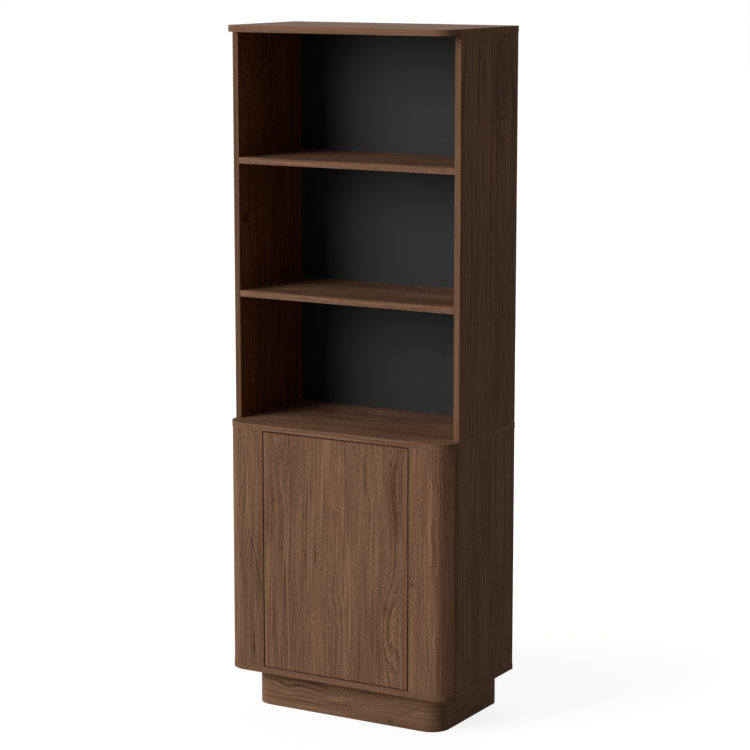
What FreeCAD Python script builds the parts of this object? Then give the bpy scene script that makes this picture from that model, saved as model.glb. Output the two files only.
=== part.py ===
import FreeCAD, Part
import os
import Sketcher

# A bookshelf: an open rack of three bays stands on a cabinet with one flush door, and the cabinet
# stands on a set-back plinth. X runs to the right, Y to the back and Z up. The origin is on the
# floor, in the middle of the boards' outline. Every length is in millimetres.

SIZES = (
    # Whole object
    ("overall_width", 650, "boards, side to side"),
    ("overall_depth", 352, "boards, front edge to back edge"),
    ("overall_height", 1748, "floor to the upper face of the top board"),
    ("board_thick", 16, "every board and wall"),
    ("corner_radius", 50, "front corners of the boards and of the plinth, in plan"),
    ("edge_ease", 0.8, "rounding along the boards' sharp edges"),
    ("overrun", 2, "how far a cut runs past the face that it leaves through"),
    # Plinth
    ("plinth_height", 100, "floor to the cabinet bottom's lower face"),
    ("plinth_inset", 51, "plinth behind the boards' front and side edges"),
    ("plinth_wall", 16, "bent wall of the plinth"),
    ("block_side", 30, "glue blocks, square in plan"),
    ("block_height", 34, "glue blocks, up to the cabinet bottom"),
    ("block_screw_length", 46, "screw up through a glue block"),
    # Cabinet
    ("cabinet_height", 750, "floor to the upper face of the cabinet top"),
    ("board_overhang", 1, "boards beyond the cabinet walls, front and sides"),
    ("post_width", 112.5, "corner post across the front, up to the door's opening"),
    ("post_depth", 35, "front face of a corner post to its seam with the side panel"),
    ("stile_width", 20, "upright behind each corner post, across"),
    ("stile_depth", 80, "upright behind each corner post, front to back"),
    ("inner_shelf_drop", 310, "cabinet ceiling down to the inner shelf's lower face"),
    ("inner_shelf_play", 1, "inner shelf to the walls around it"),
    ("inner_shelf_gap", 4, "back of the stiles to the inner shelf's front edge"),
    # Door
    ("door_thick", 16, "door leaf"),
    ("door_gap", 2, "shadow gap on all four sides of the door"),
    # Rack
    ("rack_setback", 52, "rack sides and shelves behind the boards' front edge"),
    ("rack_inset", 1, "outer faces of the rack sides inside the boards' side edges"),
    ("middle_bay_extra", 8, "height of the middle bay beyond that of the other two"),
    # Back panels
    ("panel_thick", 2.5, "back panels"),
    ("rabbet_width", 10, "step in the side panels that holds a back panel"),
    ("panel_screw_length", 16, "back panel screw"),
    # Screws
    ("screw_shank", 3, "shank diameter of the small screws"),
    ("screw_head", 6, "head diameter of the small screws"),
    ("block_screw_shank", 4, "shank diameter of the plinth screws"),
    ("block_screw_head", 8, "head diameter of the plinth screws"),
    # Dowels
    ("dowel_diameter", 8, "glued wooden dowels"),
    ("dowel_face_depth", 10, "dowel in the face of a board"),
    ("dowel_edge_depth", 20, "dowel in the end of a panel"),
    ("joint_inset", 40, "first fitting from the front or back edge of a panel"),
    ("joint_pitch", 32, "fitting to the dowel beside it"),
    ("cabinet_dowel_inset", 18, "outer dowels of a cabinet wall from its ends"),
    # Cam fittings under the rack shelves
    ("cam_diameter", 15, "cam hole in the shelf's lower face"),
    ("cam_depth", 12.5, "cam hole in the shelf's lower face"),
    ("cam_play", 0.1, "cam to the wall of its hole"),
    ("cam_inset", 24, "end of the shelf to the cam's centre"),
    ("cam_slot_width", 1.5, "driver slot in the cam"),
    ("cam_slot_depth", 2.5, "driver slot in the cam"),
    ("cam_bolt_thread", 5, "threaded end of the cam bolt, diameter"),
    ("cam_bolt_grip", 11, "threaded end in the rack side"),
    ("cam_bolt_shaft", 6.4, "smooth shaft of the cam bolt, diameter"),
    ("cam_bolt_play", 0.3, "shaft to the wall of its hole"),
    ("cam_bolt_reach", 2, "shaft past the cam's centre"),
    ("cam_bolt_end_play", 1, "end of the shaft to the end of its hole in the cam"),
    # Shelf pins
    ("pin_diameter", 5, "shelf pins and their rows of holes"),
    ("pin_grip", 10, "pin in the side panel"),
    ("pin_reach", 11, "pin out of the side panel"),
    ("pin_column_inset", 37, "column of pin holes from the inner shelf's front and back edges"),
    # Hinges
    ("hinge_end", 80, "end of the door to the middle of the nearer hinge"),
    ("hinge_edge", 14, "hinge edge of the door to the hinge axis"),
    ("hinge_depth", 7, "front face of the door to the hinge axis"),
    ("hinge_pin", 3, "hinge pin, diameter"),
    ("hinge_play", 0.05, "hinge pin to the arm's eye"),
    ("eye_wall", 1.25, "wall of the arm's eye"),
    ("cup_diameter", 35, "hinge cup"),
    ("cup_depth", 13, "hinge cup in the door"),
    ("cup_wall", 0.7, "sheet of the hinge cup"),
    ("cup_centre", 22, "hinge edge of the door to the cup's centre"),
    ("cup_rim", 1.5, "flange beyond the cup all round"),
    ("cup_flange", 1.5, "thickness of the flange"),
    ("wing_width", 16, "screw wings of the flange, from the cup's centre"),
    ("wing_reach", 28, "screw wings of the flange, up and down"),
    ("wing_screw_across", 9.5, "cup's centre to the cup screws, across"),
    ("wing_screw_up", 22.5, "cup's centre to the cup screws, up and down"),
    ("cup_screw_length", 12, "cup screw"),
    ("lug_inner", 9, "middle of the hinge to the lug's inner face"),
    ("lug_outer", 12.5, "middle of the hinge to the lug's outer face"),
    ("lug_margin", 3.5, "lug around the hinge pin's centre"),
    ("arm_thick", 2.5, "strip of the hinge arm"),
    ("arm_width", 12, "strip of the hinge arm, up and down"),
    ("arm_reach", 19, "hinge axis to the leg of the arm, across"),
    ("arm_back", 19, "hinge axis to the back run of the arm"),
    ("arm_bend", 3, "inner radius of the arm's bends"),
    ("plate_thick", 2, "mounting plate"),
    ("plate_front", 32, "hinge axis to the front end of the mounting plate"),
    ("plate_length", 42, "mounting plate, front to back"),
    ("plate_height", 40, "mounting plate, up and down"),
    ("plate_screw_up", 14, "middle of the hinge to the plate screws"),
    ("plate_screw_length", 15, "plate screw"),
    ("arm_screw_shank", 4, "machine screw that holds the arm to its plate"),
    ("arm_screw_head", 7, "its head, diameter"),
    ("arm_screw_head_height", 2.2, "its head, height"),
    # Push latch
    ("latch_above_floor", 500, "middle of the push latch"),
    ("latch_width", 24, "housing, out from the stile"),
    ("latch_height", 20, "housing, up and down"),
    ("latch_length", 68, "housing, front to back"),
    ("latch_front", 11, "back face of the door to the housing"),
    ("latch_bore", 10, "bore of the housing"),
    ("latch_bore_depth", 60, "bore of the housing"),
    ("latch_play", 0.05, "plunger to the wall of the bore"),
    ("latch_touch", 0.3, "magnet to the strike plate, and plunger to the spring"),
    ("plunger_length", 50, "plunger"),
    ("magnet_diameter", 8, "magnet in the plunger's tip"),
    ("magnet_thick", 3, "magnet in the plunger's tip"),
    ("spring_outer", 8, "latch spring, outer diameter"),
    ("spring_inner", 6, "latch spring, inner diameter"),
    ("ear_thick", 4, "screw ears of the housing"),
    ("ear_length", 24, "screw ears, front to back"),
    ("ear_reach", 10, "screw ears above and below the housing"),
    ("latch_screw_length", 16, "latch screw"),
    ("strike_thick", 1.5, "strike plate on the door"),
    ("strike_width", 15, "strike plate"),
    ("strike_height", 38, "strike plate"),
    ("strike_screw_up", 13, "middle of the strike plate to its screws"),
    ("strike_screw_length", 11, "strike plate screw"),
    # Wall bracket
    ("bracket_from_side", 78, "rack side's inner face to the middle of the wall bracket"),
    ("bracket_width", 40, "wall bracket, side to side"),
    ("bracket_leg", 34, "both legs of the wall bracket"),
    ("bracket_thick", 2, "wall bracket"),
    ("bracket_hole", 5.5, "hole for the wall screw"),
    ("bracket_hole_drop", 20, "top board down to the wall screw hole"),
    ("bracket_screw_apart", 22, "the two screws into the top board"),
    ("bracket_screw_length", 13, "screw into the top board"),
    ("panel_hole", 9, "hole in the rack's back panel behind the bracket"),
)

doc = FreeCAD.newDocument("bookshelf")
sheet = doc.addObject("Spreadsheet::Sheet", "Sizes")
for row, (alias, size, meaning) in enumerate(SIZES, 1):
    sheet.set(f"A{row}", meaning)
    sheet.set(f"B{row}", str(size))
    sheet.setAlias(f"B{row}", alias)
doc.recompute()

# Places that several pieces share, worked out from the sizes
EDGE_X = "(Sizes.overall_width / 2)"
FRONT_Y = "(-Sizes.overall_depth / 2)"
BACK_Y = "(Sizes.overall_depth / 2)"
PANEL_Y = f"({BACK_Y} - Sizes.panel_thick)"
WALL_X = f"({EDGE_X} - Sizes.board_overhang)"
WALL_Y = f"({FRONT_Y} + Sizes.board_overhang)"
INNER_X = f"({WALL_X} - Sizes.board_thick)"
INNER_Y = f"({WALL_Y} + Sizes.board_thick)"
SEAM_Y = f"({WALL_Y} + Sizes.post_depth)"
OPENING_X = f"({WALL_X} - Sizes.post_width)"
DOOR_X = f"({OPENING_X} - Sizes.door_gap)"
FLOOR_Z = "(Sizes.plinth_height + Sizes.board_thick)"
CEILING_Z = "(Sizes.cabinet_height - Sizes.board_thick)"
WALL_HEIGHT = f"({CEILING_Z} - {FLOOR_Z})"
RACK_X = f"({EDGE_X} - Sizes.rack_inset)"
RACK_INNER_X = f"({RACK_X} - Sizes.board_thick)"
RACK_Y = f"({FRONT_Y} + Sizes.rack_setback)"
TOP_Z = "(Sizes.overall_height - Sizes.board_thick)"
RACK_HEIGHT = f"({TOP_Z} - Sizes.cabinet_height)"
HALF_BOARD = "(Sizes.board_thick / 2)"
STILE_BACK_Y = f"({INNER_Y} + Sizes.stile_depth)"
DOOR_BACK_Y = f"({WALL_Y} + Sizes.door_thick)"
DOOR_Z = f"({FLOOR_Z} + Sizes.door_gap)"
DOOR_HEIGHT = f"({WALL_HEIGHT} - 2 * Sizes.door_gap)"

# The places along a panel, front to back, where its ends are joined
RACK_JOINTS = (
    f"{RACK_Y} + Sizes.joint_inset",
    f"{RACK_Y} + Sizes.joint_inset + Sizes.joint_pitch",
    f"{PANEL_Y} - Sizes.joint_inset - Sizes.joint_pitch",
    f"{PANEL_Y} - Sizes.joint_inset",
)
SIDES = (("left", -1), ("right", 1))

# The axis that a cut or a fastener runs along: sketch plane, sign of the plane's offset, and
# whether a cut from that plane has to be reversed to run that way
CUT_PLANES = {
    "+X": ("YZ_Plane", "", True),
    "-X": ("YZ_Plane", "", False),
    "+Y": ("XZ_Plane", "-", False),
    "-Y": ("XZ_Plane", "-", True),
    "+Z": ("XY_Plane", "", True),
    "-Z": ("XY_Plane", "", False),
}
TURNS = {
    "+X": FreeCAD.Rotation(FreeCAD.Vector(0, 1, 0), 90),
    "-X": FreeCAD.Rotation(FreeCAD.Vector(0, 1, 0), -90),
    "+Y": FreeCAD.Rotation(FreeCAD.Vector(1, 0, 0), -90),
    "-Y": FreeCAD.Rotation(FreeCAD.Vector(1, 0, 0), 90),
    "+Z": FreeCAD.Rotation(),
    "-Z": FreeCAD.Rotation(FreeCAD.Vector(1, 0, 0), 180),
}
COUNTERSINK_ANGLE = 90
TOUCH = 1e-4

pieces = []


def value(expression):
    """The number that an expression on the sheet gives now."""
    found = sheet.evalExpression(expression)
    return float(getattr(found, "Value", found))


def rectangle(left, right, low, high):
    """The four corners of a rectangle, as expressions."""
    return ((left, low), (right, low), (right, high), (left, high))


class Piece:
    """One piece of the bookshelf, built as a body with its own origin."""

    def __init__(self, label, base="0", across="0", deep="0"):
        self.body = doc.addObject("PartDesign::Body", label)
        self.body.Label = label
        self.volume = 0
        for axis, expression in zip("xyz", (across, deep, base)):
            self.body.setExpression(f".Placement.Base.{axis}", expression)
        pieces.append(self.body)

    def sketch(self, name, role, offset="0"):
        """A sketch on one of the body's origin planes, moved along the plane's normal."""
        plane = next(item for item in self.body.Origin.OriginFeatures if item.Role == role)
        sketch = self.body.newObject("Sketcher::SketchObject", f"{self.body.Name}_{name}_sketch")
        sketch.AttachmentSupport = (plane, [""])
        sketch.MapMode = "FlatFace"
        sketch.setExpression(".AttachmentOffset.Base.z", offset)
        return sketch

    def hold(self, sketch, kind, geometry, point, expression):
        """Tie one coordinate of a point of the sketch to the sheet."""
        rule = Sketcher.Constraint(kind, -1, 1, geometry, point, value(expression))
        index = sketch.addConstraint(rule)
        sketch.setExpression(f"Constraints[{index}]", expression)

    def outline(self, sketch, points):
        """A closed outline with straight sides through the points."""
        corners = [FreeCAD.Vector(value(across), value(up), 0) for across, up in points]
        count = len(points)
        for index in range(count):
            side = Part.LineSegment(corners[index], corners[(index + 1) % count])
            sketch.addGeometry(side, False)
        for index in range(count):
            meet = Sketcher.Constraint("Coincident", index, 2, (index + 1) % count, 1)
            sketch.addConstraint(meet)
        for index, (across, up) in enumerate(points):
            self.hold(sketch, "DistanceX", index, 1, across)
            self.hold(sketch, "DistanceY", index, 1, up)

    def circles(self, sketch, centres, diameter):
        """Circles of one diameter about the centres."""
        for across, up in centres:
            middle = FreeCAD.Vector(value(across), value(up), 0)
            ring = Part.Circle(middle, FreeCAD.Vector(0, 0, 1), value(diameter) / 2)
            index = sketch.addGeometry(ring, False)
            self.hold(sketch, "DistanceX", index, 3, across)
            self.hold(sketch, "DistanceY", index, 3, up)
            rule = sketch.addConstraint(Sketcher.Constraint("Diameter", index, value(diameter)))
            sketch.setExpression(f"Constraints[{rule}]", diameter)

    def settle(self, feature, grows):
        """Recompute, and stop if the feature failed to add or to remove material."""
        doc.recompute()
        volume = self.body.Shape.Volume
        change = volume - self.volume
        if change == 0 or (change > 0) != grows:
            raise RuntimeError(f"{feature.Label} of {self.body.Label} changes the volume by {change}")
        self.volume = volume

    def feature(self, kind, name, sketch, length, reverse=False):
        """A pad or a pocket of the sketch."""
        feature = self.body.newObject(f"PartDesign::{kind}", f"{self.body.Name}_{name}")
        feature.Profile = (sketch, [""])
        feature.Reversed = reverse
        feature.setExpression("Length", length)
        self.settle(feature, kind == "Pad")

    def pad(self, name, points, length, role="XY_Plane", offset="0"):
        """Material with the outline's shape, along the plane's normal."""
        sketch = self.sketch(name, role, offset)
        self.outline(sketch, points)
        self.feature("Pad", name, sketch, length)

    def pad_round(self, name, centres, diameter, length, role="XY_Plane", offset="0"):
        """Round bars, along the plane's normal."""
        sketch = self.sketch(name, role, offset)
        self.circles(sketch, centres, diameter)
        self.feature("Pad", name, sketch, length)

    def cut(self, name, toward, start, points, depth):
        """A recess with the outline's shape, from the plane at start."""
        role, sign, reverse = CUT_PLANES[toward]
        sketch = self.sketch(name, role, f"{sign}({start})")
        self.outline(sketch, points)
        self.feature("Pocket", name, sketch, depth, reverse)

    def drill(self, name, toward, start, centres, diameter, depth):
        """Flat-bottomed holes, from the plane at start."""
        role, sign, reverse = CUT_PLANES[toward]
        sketch = self.sketch(name, role, f"{sign}({start})")
        self.circles(sketch, centres, diameter)
        self.feature("Pocket", name, sketch, depth, reverse)

    def countersink(self, name, toward, start, centres, shank, head, thickness):
        """Countersunk screw holes through a sheet, from the plane at start."""
        role, sign, reverse = CUT_PLANES[toward]
        sketch = self.sketch(name, role, f"{sign}({start})")
        self.circles(sketch, centres, head)
        doc.recompute()
        hole = self.body.newObject("PartDesign::Hole", f"{self.body.Name}_{name}")
        hole.Profile = (sketch, [""])
        hole.Reversed = reverse
        hole.ThreadType = "None"
        hole.DepthType = "Dimension"
        hole.DrillPoint = "Flat"
        hole.HoleCutType = "Countersink"
        hole.HoleCutCustomValues = True
        hole.HoleCutCountersinkAngle = COUNTERSINK_ANGLE
        hole.setExpression("Diameter", shank)
        hole.setExpression("HoleCutDiameter", head)
        hole.setExpression("Depth", f"{thickness} + Sizes.overrun")
        self.settle(hole, False)

    def turn(self, name, points):
        """A full turn of the outline about the sketch's upright axis."""
        sketch = self.sketch(name, "XY_Plane")
        self.outline(sketch, points)
        feature = self.body.newObject("PartDesign::Revolution", f"{self.body.Name}_{name}")
        feature.Profile = (sketch, [""])
        feature.ReferenceAxis = (sketch, ["V_Axis"])
        self.settle(feature, True)

    def edges_at(self, *levels):
        """Names of the edges that lie wholly at every given level, such as ("X", expression)."""
        wanted = [(axis, value(level)) for axis, level in levels]
        found = []
        for index, edge in enumerate(self.body.Tip.Shape.Edges, 1):
            box = edge.BoundBox
            ends = [(getattr(box, f"{axis}Min"), getattr(box, f"{axis}Max"), at) for axis, at in wanted]
            if all(abs(low - at) < TOUCH and abs(high - at) < TOUCH for low, high, at in ends):
                found.append(f"Edge{index}")
        return found

    def fillet(self, name, edges, radius, grows=False):
        """Rounding of the named edges; it adds material only in an inside corner."""
        base = self.body.Tip
        feature = self.body.newObject("PartDesign::Fillet", f"{self.body.Name}_{name}")
        feature.Base = (base, edges)
        feature.setExpression("Radius", radius)
        self.settle(feature, grows)

    def fillet_upright(self, name, corners, radius, grows=False):
        """Rounding of the edges along Z that stand at the given corners."""
        edges = [edge for across, deep in corners for edge in self.edges_at(("X", across), ("Y", deep))]
        self.fillet(name, edges, radius, grows)


def along(place, toward, distance):
    """The place moved by a distance along an axis."""
    index = "XYZ".index(toward[1])
    moved = list(place)
    moved[index] = f"{place[index]} {toward[0]} ({distance})"
    return tuple(moved)


def primitive(kind, name, place, toward, sizes):
    """A Part primitive whose sizes and place are tied to the sheet."""
    item = doc.addObject(kind, name)
    for size, expression in sizes.items():
        item.setExpression(size, expression)
    item.Placement.Rotation = TURNS[toward]
    for axis, expression in zip("xyz", place):
        item.setExpression(f".Placement.Base.{axis}", expression)
    return item


def bar(name, place, toward, diameter, length):
    """A round bar that starts at the place."""
    sizes = {"Radius": f"({diameter}) / 2", "Height": length}
    return primitive("Part::Cylinder", name, place, toward, sizes)


def fused(name, parts):
    """Several overlapping solids as one."""
    item = doc.addObject("Part::MultiFuse", name)
    item.Shapes = parts
    return item


def trimmed(name, base, tool):
    """One solid with another cut away."""
    item = doc.addObject("Part::Cut", name)
    item.Base = base
    item.Tool = tool
    return item


def keep(label, item):
    """Name a finished piece that isn't a body."""
    item.Label = label
    pieces.append(item)


def together(label, solids):
    """Loose alike solids that share one name."""
    group = doc.addObject("Part::Compound", label)
    group.Links = solids
    keep(label, group)


def screw(name, place, toward, shank, head, length):
    """A countersunk screw whose flat head lies at the place."""
    cone_height = f"((({head}) - ({shank})) / 2)"
    cone_sizes = {"Radius1": f"({head}) / 2", "Radius2": f"({shank}) / 2", "Height": cone_height}
    cone = primitive("Part::Cone", f"{name}_head", place, toward, cone_sizes)
    neck = along(place, toward, cone_height)
    shaft = bar(f"{name}_shank", neck, toward, shank, f"({length}) - {cone_height}")
    return fused(name, [cone, shaft])


def screws(label, places, toward, length, shank="Sizes.screw_shank", head="Sizes.screw_head"):
    """A set of alike countersunk screws."""
    together(label, [
        screw(f"{label}_{index}", place, toward, shank, head, length)
        for index, place in enumerate(places, 1)
    ])


def outward(sign):
    """The axis that points away from the middle on one side."""
    return "+X" if sign > 0 else "-X"


def inward(sign):
    """The axis that points to the middle from one side."""
    return "-X" if sign > 0 else "+X"


# Boards with two rounded front corners: cabinet bottom, cabinet top and top board

def board(label, base):
    """A board of the full outline, its sharp edges eased."""
    piece = Piece(label, base)
    outline = rectangle(f"-{EDGE_X}", EDGE_X, FRONT_Y, BACK_Y)
    piece.pad("slab", outline, "Sizes.board_thick")
    corners = ((f"-{EDGE_X}", FRONT_Y), (EDGE_X, FRONT_Y))
    piece.fillet_upright("corners", corners, "Sizes.corner_radius")
    rims = piece.edges_at(("Z", "0")) + piece.edges_at(("Z", "Sizes.board_thick"))
    piece.fillet("eased", rims, "Sizes.edge_ease")
    return piece


# Dowels that join the cabinet walls to the boards above and below them, one side after the other
WALL_DOWELS = tuple(
    (f"{sign} * {across}", deep)
    for side, sign in SIDES
    for across, deep in (
        (f"({WALL_X} - {HALF_BOARD})", f"{SEAM_Y} + Sizes.cabinet_dowel_inset"),
        (f"({WALL_X} - {HALF_BOARD})", f"({SEAM_Y} + {BACK_Y}) / 2"),
        (f"({WALL_X} - {HALF_BOARD})", f"{BACK_Y} - Sizes.cabinet_dowel_inset"),
        (f"({OPENING_X} + Sizes.cabinet_dowel_inset)", f"{WALL_Y} + {HALF_BOARD}"),
        (f"({OPENING_X} + Sizes.stile_width / 2)", f"({INNER_Y} + {STILE_BACK_Y}) / 2"),
    )
)
DOWELS_PER_SIDE = 5
PANEL_DOWELS = slice(0, 3)
POST_DOWELS = slice(3, 4)
STILE_DOWELS = slice(4, 5)

# Dowels that join the rack sides to the cabinet top and to the top board, one side after the other
RACK_DOWELS = tuple(
    (f"{sign} * ({RACK_X} - {HALF_BOARD})", deep)
    for side, sign in SIDES
    for deep in RACK_JOINTS
)

# Glue blocks in the plinth: middle of each, beside the bent wall
PLINTH_X = f"({EDGE_X} - Sizes.plinth_inset)"
PLINTH_Y = f"({FRONT_Y} + Sizes.plinth_inset)"
PLINTH_INNER_X = f"({PLINTH_X} - Sizes.plinth_wall)"
PLINTH_INNER_Y = f"({PLINTH_Y} + Sizes.plinth_wall)"
RAIL_Y = f"({BACK_Y} - Sizes.plinth_wall)"
BLOCK_FOOT = "(Sizes.plinth_height - Sizes.block_height)"
BLOCKS = tuple(
    (f"{sign} * ({PLINTH_INNER_X} - Sizes.block_side / 2)", deep)
    for side, sign in SIDES
    for deep in (
        f"({PLINTH_Y} + Sizes.corner_radius + Sizes.block_side / 2)",
        f"({RAIL_Y} - Sizes.block_side / 2)",
    )
)

cabinet_bottom = board("cabinet_bottom", "Sizes.plinth_height")
cabinet_bottom.drill("wall_dowels", "-Z", "Sizes.board_thick", WALL_DOWELS,
                     "Sizes.dowel_diameter", "Sizes.dowel_face_depth")
cabinet_bottom.drill("block_screws", "+Z", "0", BLOCKS, "Sizes.block_screw_shank",
                     "Sizes.block_screw_length - Sizes.block_height")

cabinet_top = board("cabinet_top", CEILING_Z)
cabinet_top.drill("wall_dowels", "+Z", "0", WALL_DOWELS,
                  "Sizes.dowel_diameter", "Sizes.dowel_face_depth")
cabinet_top.drill("rack_dowels", "-Z", "Sizes.board_thick", RACK_DOWELS,
                  "Sizes.dowel_diameter", "Sizes.dowel_face_depth")

BRACKET_X = f"({RACK_INNER_X} - Sizes.bracket_from_side)"
BRACKET_SCREWS = tuple(
    (f"{BRACKET_X} + {sign} * Sizes.bracket_screw_apart / 2",
     f"({PANEL_Y} - Sizes.bracket_leg / 2)")
    for side, sign in SIDES
)
top_board = board("top_board", TOP_Z)
top_board.drill("rack_dowels", "+Z", "0", RACK_DOWELS,
                "Sizes.dowel_diameter", "Sizes.dowel_face_depth")
top_board.drill("bracket_screws", "+Z", "0", BRACKET_SCREWS, "Sizes.screw_shank",
                "Sizes.bracket_screw_length - Sizes.bracket_thick")

# Plinth: one bent wall along the front and both sides, a rail behind and a brace between

plinth_wrap = Piece("plinth_wrap")
plinth_wrap.pad("wall", (
    (f"-{PLINTH_X}", PLINTH_Y),
    (PLINTH_X, PLINTH_Y),
    (PLINTH_X, BACK_Y),
    (PLINTH_INNER_X, BACK_Y),
    (PLINTH_INNER_X, PLINTH_INNER_Y),
    (f"-{PLINTH_INNER_X}", PLINTH_INNER_Y),
    (f"-{PLINTH_INNER_X}", BACK_Y),
    (f"-{PLINTH_X}", BACK_Y),
), "Sizes.plinth_height")
plinth_wrap.fillet_upright("bend_inside", (
    (f"-{PLINTH_INNER_X}", PLINTH_INNER_Y),
    (PLINTH_INNER_X, PLINTH_INNER_Y),
), "Sizes.corner_radius - Sizes.plinth_wall", grows=True)
plinth_wrap.fillet_upright("bend_outside", (
    (f"-{PLINTH_X}", PLINTH_Y),
    (PLINTH_X, PLINTH_Y),
), "Sizes.corner_radius")

rear_rail = Piece("plinth_rear_rail")
rear_rail.pad("rail", rectangle(f"-{PLINTH_INNER_X}", PLINTH_INNER_X, RAIL_Y, BACK_Y),
              "Sizes.plinth_height")

cross_brace = Piece("plinth_cross_brace")
cross_brace.pad("brace", rectangle("-Sizes.plinth_wall / 2", "Sizes.plinth_wall / 2",
                                   PLINTH_INNER_Y, RAIL_Y), "Sizes.plinth_height")

blocks = []
for number, (across, deep) in enumerate(BLOCKS, 1):
    corner = (f"{across} - Sizes.block_side / 2", f"{deep} - Sizes.block_side / 2", BLOCK_FOOT)
    cube = primitive("Part::Box", f"glue_block_{number}_blank", corner, "+Z", {
        "Length": "Sizes.block_side",
        "Width": "Sizes.block_side",
        "Height": "Sizes.block_height",
    })
    hole = screw(f"glue_block_{number}_hole", (across, deep, BLOCK_FOOT), "+Z",
                 "Sizes.block_screw_shank", "Sizes.block_screw_head", "Sizes.block_screw_length")
    blocks.append(trimmed(f"glue_block_{number}", cube, hole))
together("plinth_glue_blocks", blocks)
screws("plinth_screws", [(across, deep, BLOCK_FOOT) for across, deep in BLOCKS], "+Z",
       "Sizes.block_screw_length", "Sizes.block_screw_shank", "Sizes.block_screw_head")

# Cabinet walls: a corner post with a flat leaf and most of a quarter round, then a side panel
# that carries the rest of the curve

PANEL_SCREW_X = "(Sizes.rabbet_width / 2)"
CABINET_SCREW_SHARES = (0.08, 0.5, 0.92)
RACK_SCREW_SHARES = (0.06, 0.27, 0.5, 0.72, 0.94)
SHELF_SCREW_SHARES = (-0.5, 0.5)
PIN_STEPS = (-2, -1, 0, 1, 2)

SHELF_Y = f"({STILE_BACK_Y} + Sizes.inner_shelf_gap)"
SHELF_BACK_Y = f"({PANEL_Y} - Sizes.inner_shelf_play)"
PIN_Z = f"({WALL_HEIGHT} - Sizes.inner_shelf_drop - Sizes.pin_diameter / 2)"
PIN_COLUMNS = (
    f"{SHELF_Y} + Sizes.pin_column_inset",
    f"{SHELF_BACK_Y} - Sizes.pin_column_inset",
)
ENDS = (("foot", "+Z", "0"), ("head", "-Z", WALL_HEIGHT))


def cabinet_wall(label, sign):
    """The whole wall from the door's edge round the corner to the back, stepped for the panel."""
    piece = Piece(label, FLOOR_Z)
    outer_corner = (f"{sign} * {WALL_X}", WALL_Y)
    inner_corner = (f"{sign} * {INNER_X}", INNER_Y)
    piece.pad("wall", (
        (f"{sign} * {OPENING_X}", WALL_Y),
        outer_corner,
        (f"{sign} * {WALL_X}", BACK_Y),
        (f"{sign} * ({INNER_X} + Sizes.rabbet_width)", BACK_Y),
        (f"{sign} * ({INNER_X} + Sizes.rabbet_width)", PANEL_Y),
        (f"{sign} * {INNER_X}", PANEL_Y),
        inner_corner,
        (f"{sign} * {OPENING_X}", INNER_Y),
    ), WALL_HEIGHT)
    outer_radius = "(Sizes.corner_radius - Sizes.board_overhang)"
    piece.fillet_upright("bend_inside", (inner_corner,), f"{outer_radius} - Sizes.board_thick",
                         grows=True)
    piece.fillet_upright("bend_outside", (outer_corner,), outer_radius)
    return piece


for number, (side, sign) in enumerate(SIDES):
    dowels = WALL_DOWELS[number * DOWELS_PER_SIDE:(number + 1) * DOWELS_PER_SIDE]

    post = cabinet_wall(f"corner_post_{side}", sign)
    behind = rectangle("0", f"{sign} * {EDGE_X}", SEAM_Y, f"{BACK_Y} + Sizes.overrun")
    post.cut("seam", "+Z", "0", behind, WALL_HEIGHT)
    post.fillet_upright("eased", ((f"{sign} * {OPENING_X}", WALL_Y),), "Sizes.edge_ease")
    for end, toward, start in ENDS:
        post.drill(f"{end}_dowel", toward, start, dowels[POST_DOWELS],
                   "Sizes.dowel_diameter", "Sizes.dowel_edge_depth")

    panel = cabinet_wall(f"cabinet_side_{side}", sign)
    before = rectangle("0", f"{sign} * {EDGE_X}", f"{FRONT_Y} - Sizes.overrun", SEAM_Y)
    panel.cut("seam", "+Z", "0", before, WALL_HEIGHT)
    for end, toward, start in ENDS:
        panel.drill(f"{end}_dowels", toward, start, dowels[PANEL_DOWELS],
                    "Sizes.dowel_diameter", "Sizes.dowel_edge_depth")
    panel.drill("pin_holes", outward(sign), f"{sign} * {INNER_X}", [
        (deep, f"{PIN_Z} + {step} * Sizes.joint_pitch") for deep in PIN_COLUMNS for step in PIN_STEPS
    ], "Sizes.pin_diameter", "Sizes.pin_grip")
    panel.drill("back_screws", "-Y", PANEL_Y, [
        (f"{sign} * ({INNER_X} + {PANEL_SCREW_X})", f"{WALL_HEIGHT} * {share}")
        for share in CABINET_SCREW_SHARES
    ], "Sizes.screw_shank", "Sizes.panel_screw_length - Sizes.panel_thick")

# Uprights behind the posts: the left one carries the hinges, the right one the latch

HINGE_X = f"(Sizes.hinge_edge - {DOOR_X})"
HINGE_Y = f"({WALL_Y} + Sizes.hinge_depth)"
HINGES = (
    ("upper", f"({DOOR_Z} + {DOOR_HEIGHT} - Sizes.hinge_end)"),
    ("lower", f"({DOOR_Z} + Sizes.hinge_end)"),
)
PLATE_SCREW_Y = "(Sizes.plate_front + Sizes.plate_length / 3)"
ARM_SCREW_Y = "(Sizes.plate_front + Sizes.plate_length * 2 / 3)"
LATCH_X = f"({OPENING_X} - Sizes.latch_width / 2)"
LATCH_Y = f"({DOOR_BACK_Y} + Sizes.latch_front)"
EAR_X = f"({OPENING_X} - Sizes.ear_thick)"
EAR_Y = f"({LATCH_Y} + Sizes.latch_length / 2)"
EAR_SCREW_UP = "(Sizes.latch_height / 2 + Sizes.ear_reach / 2)"


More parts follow.
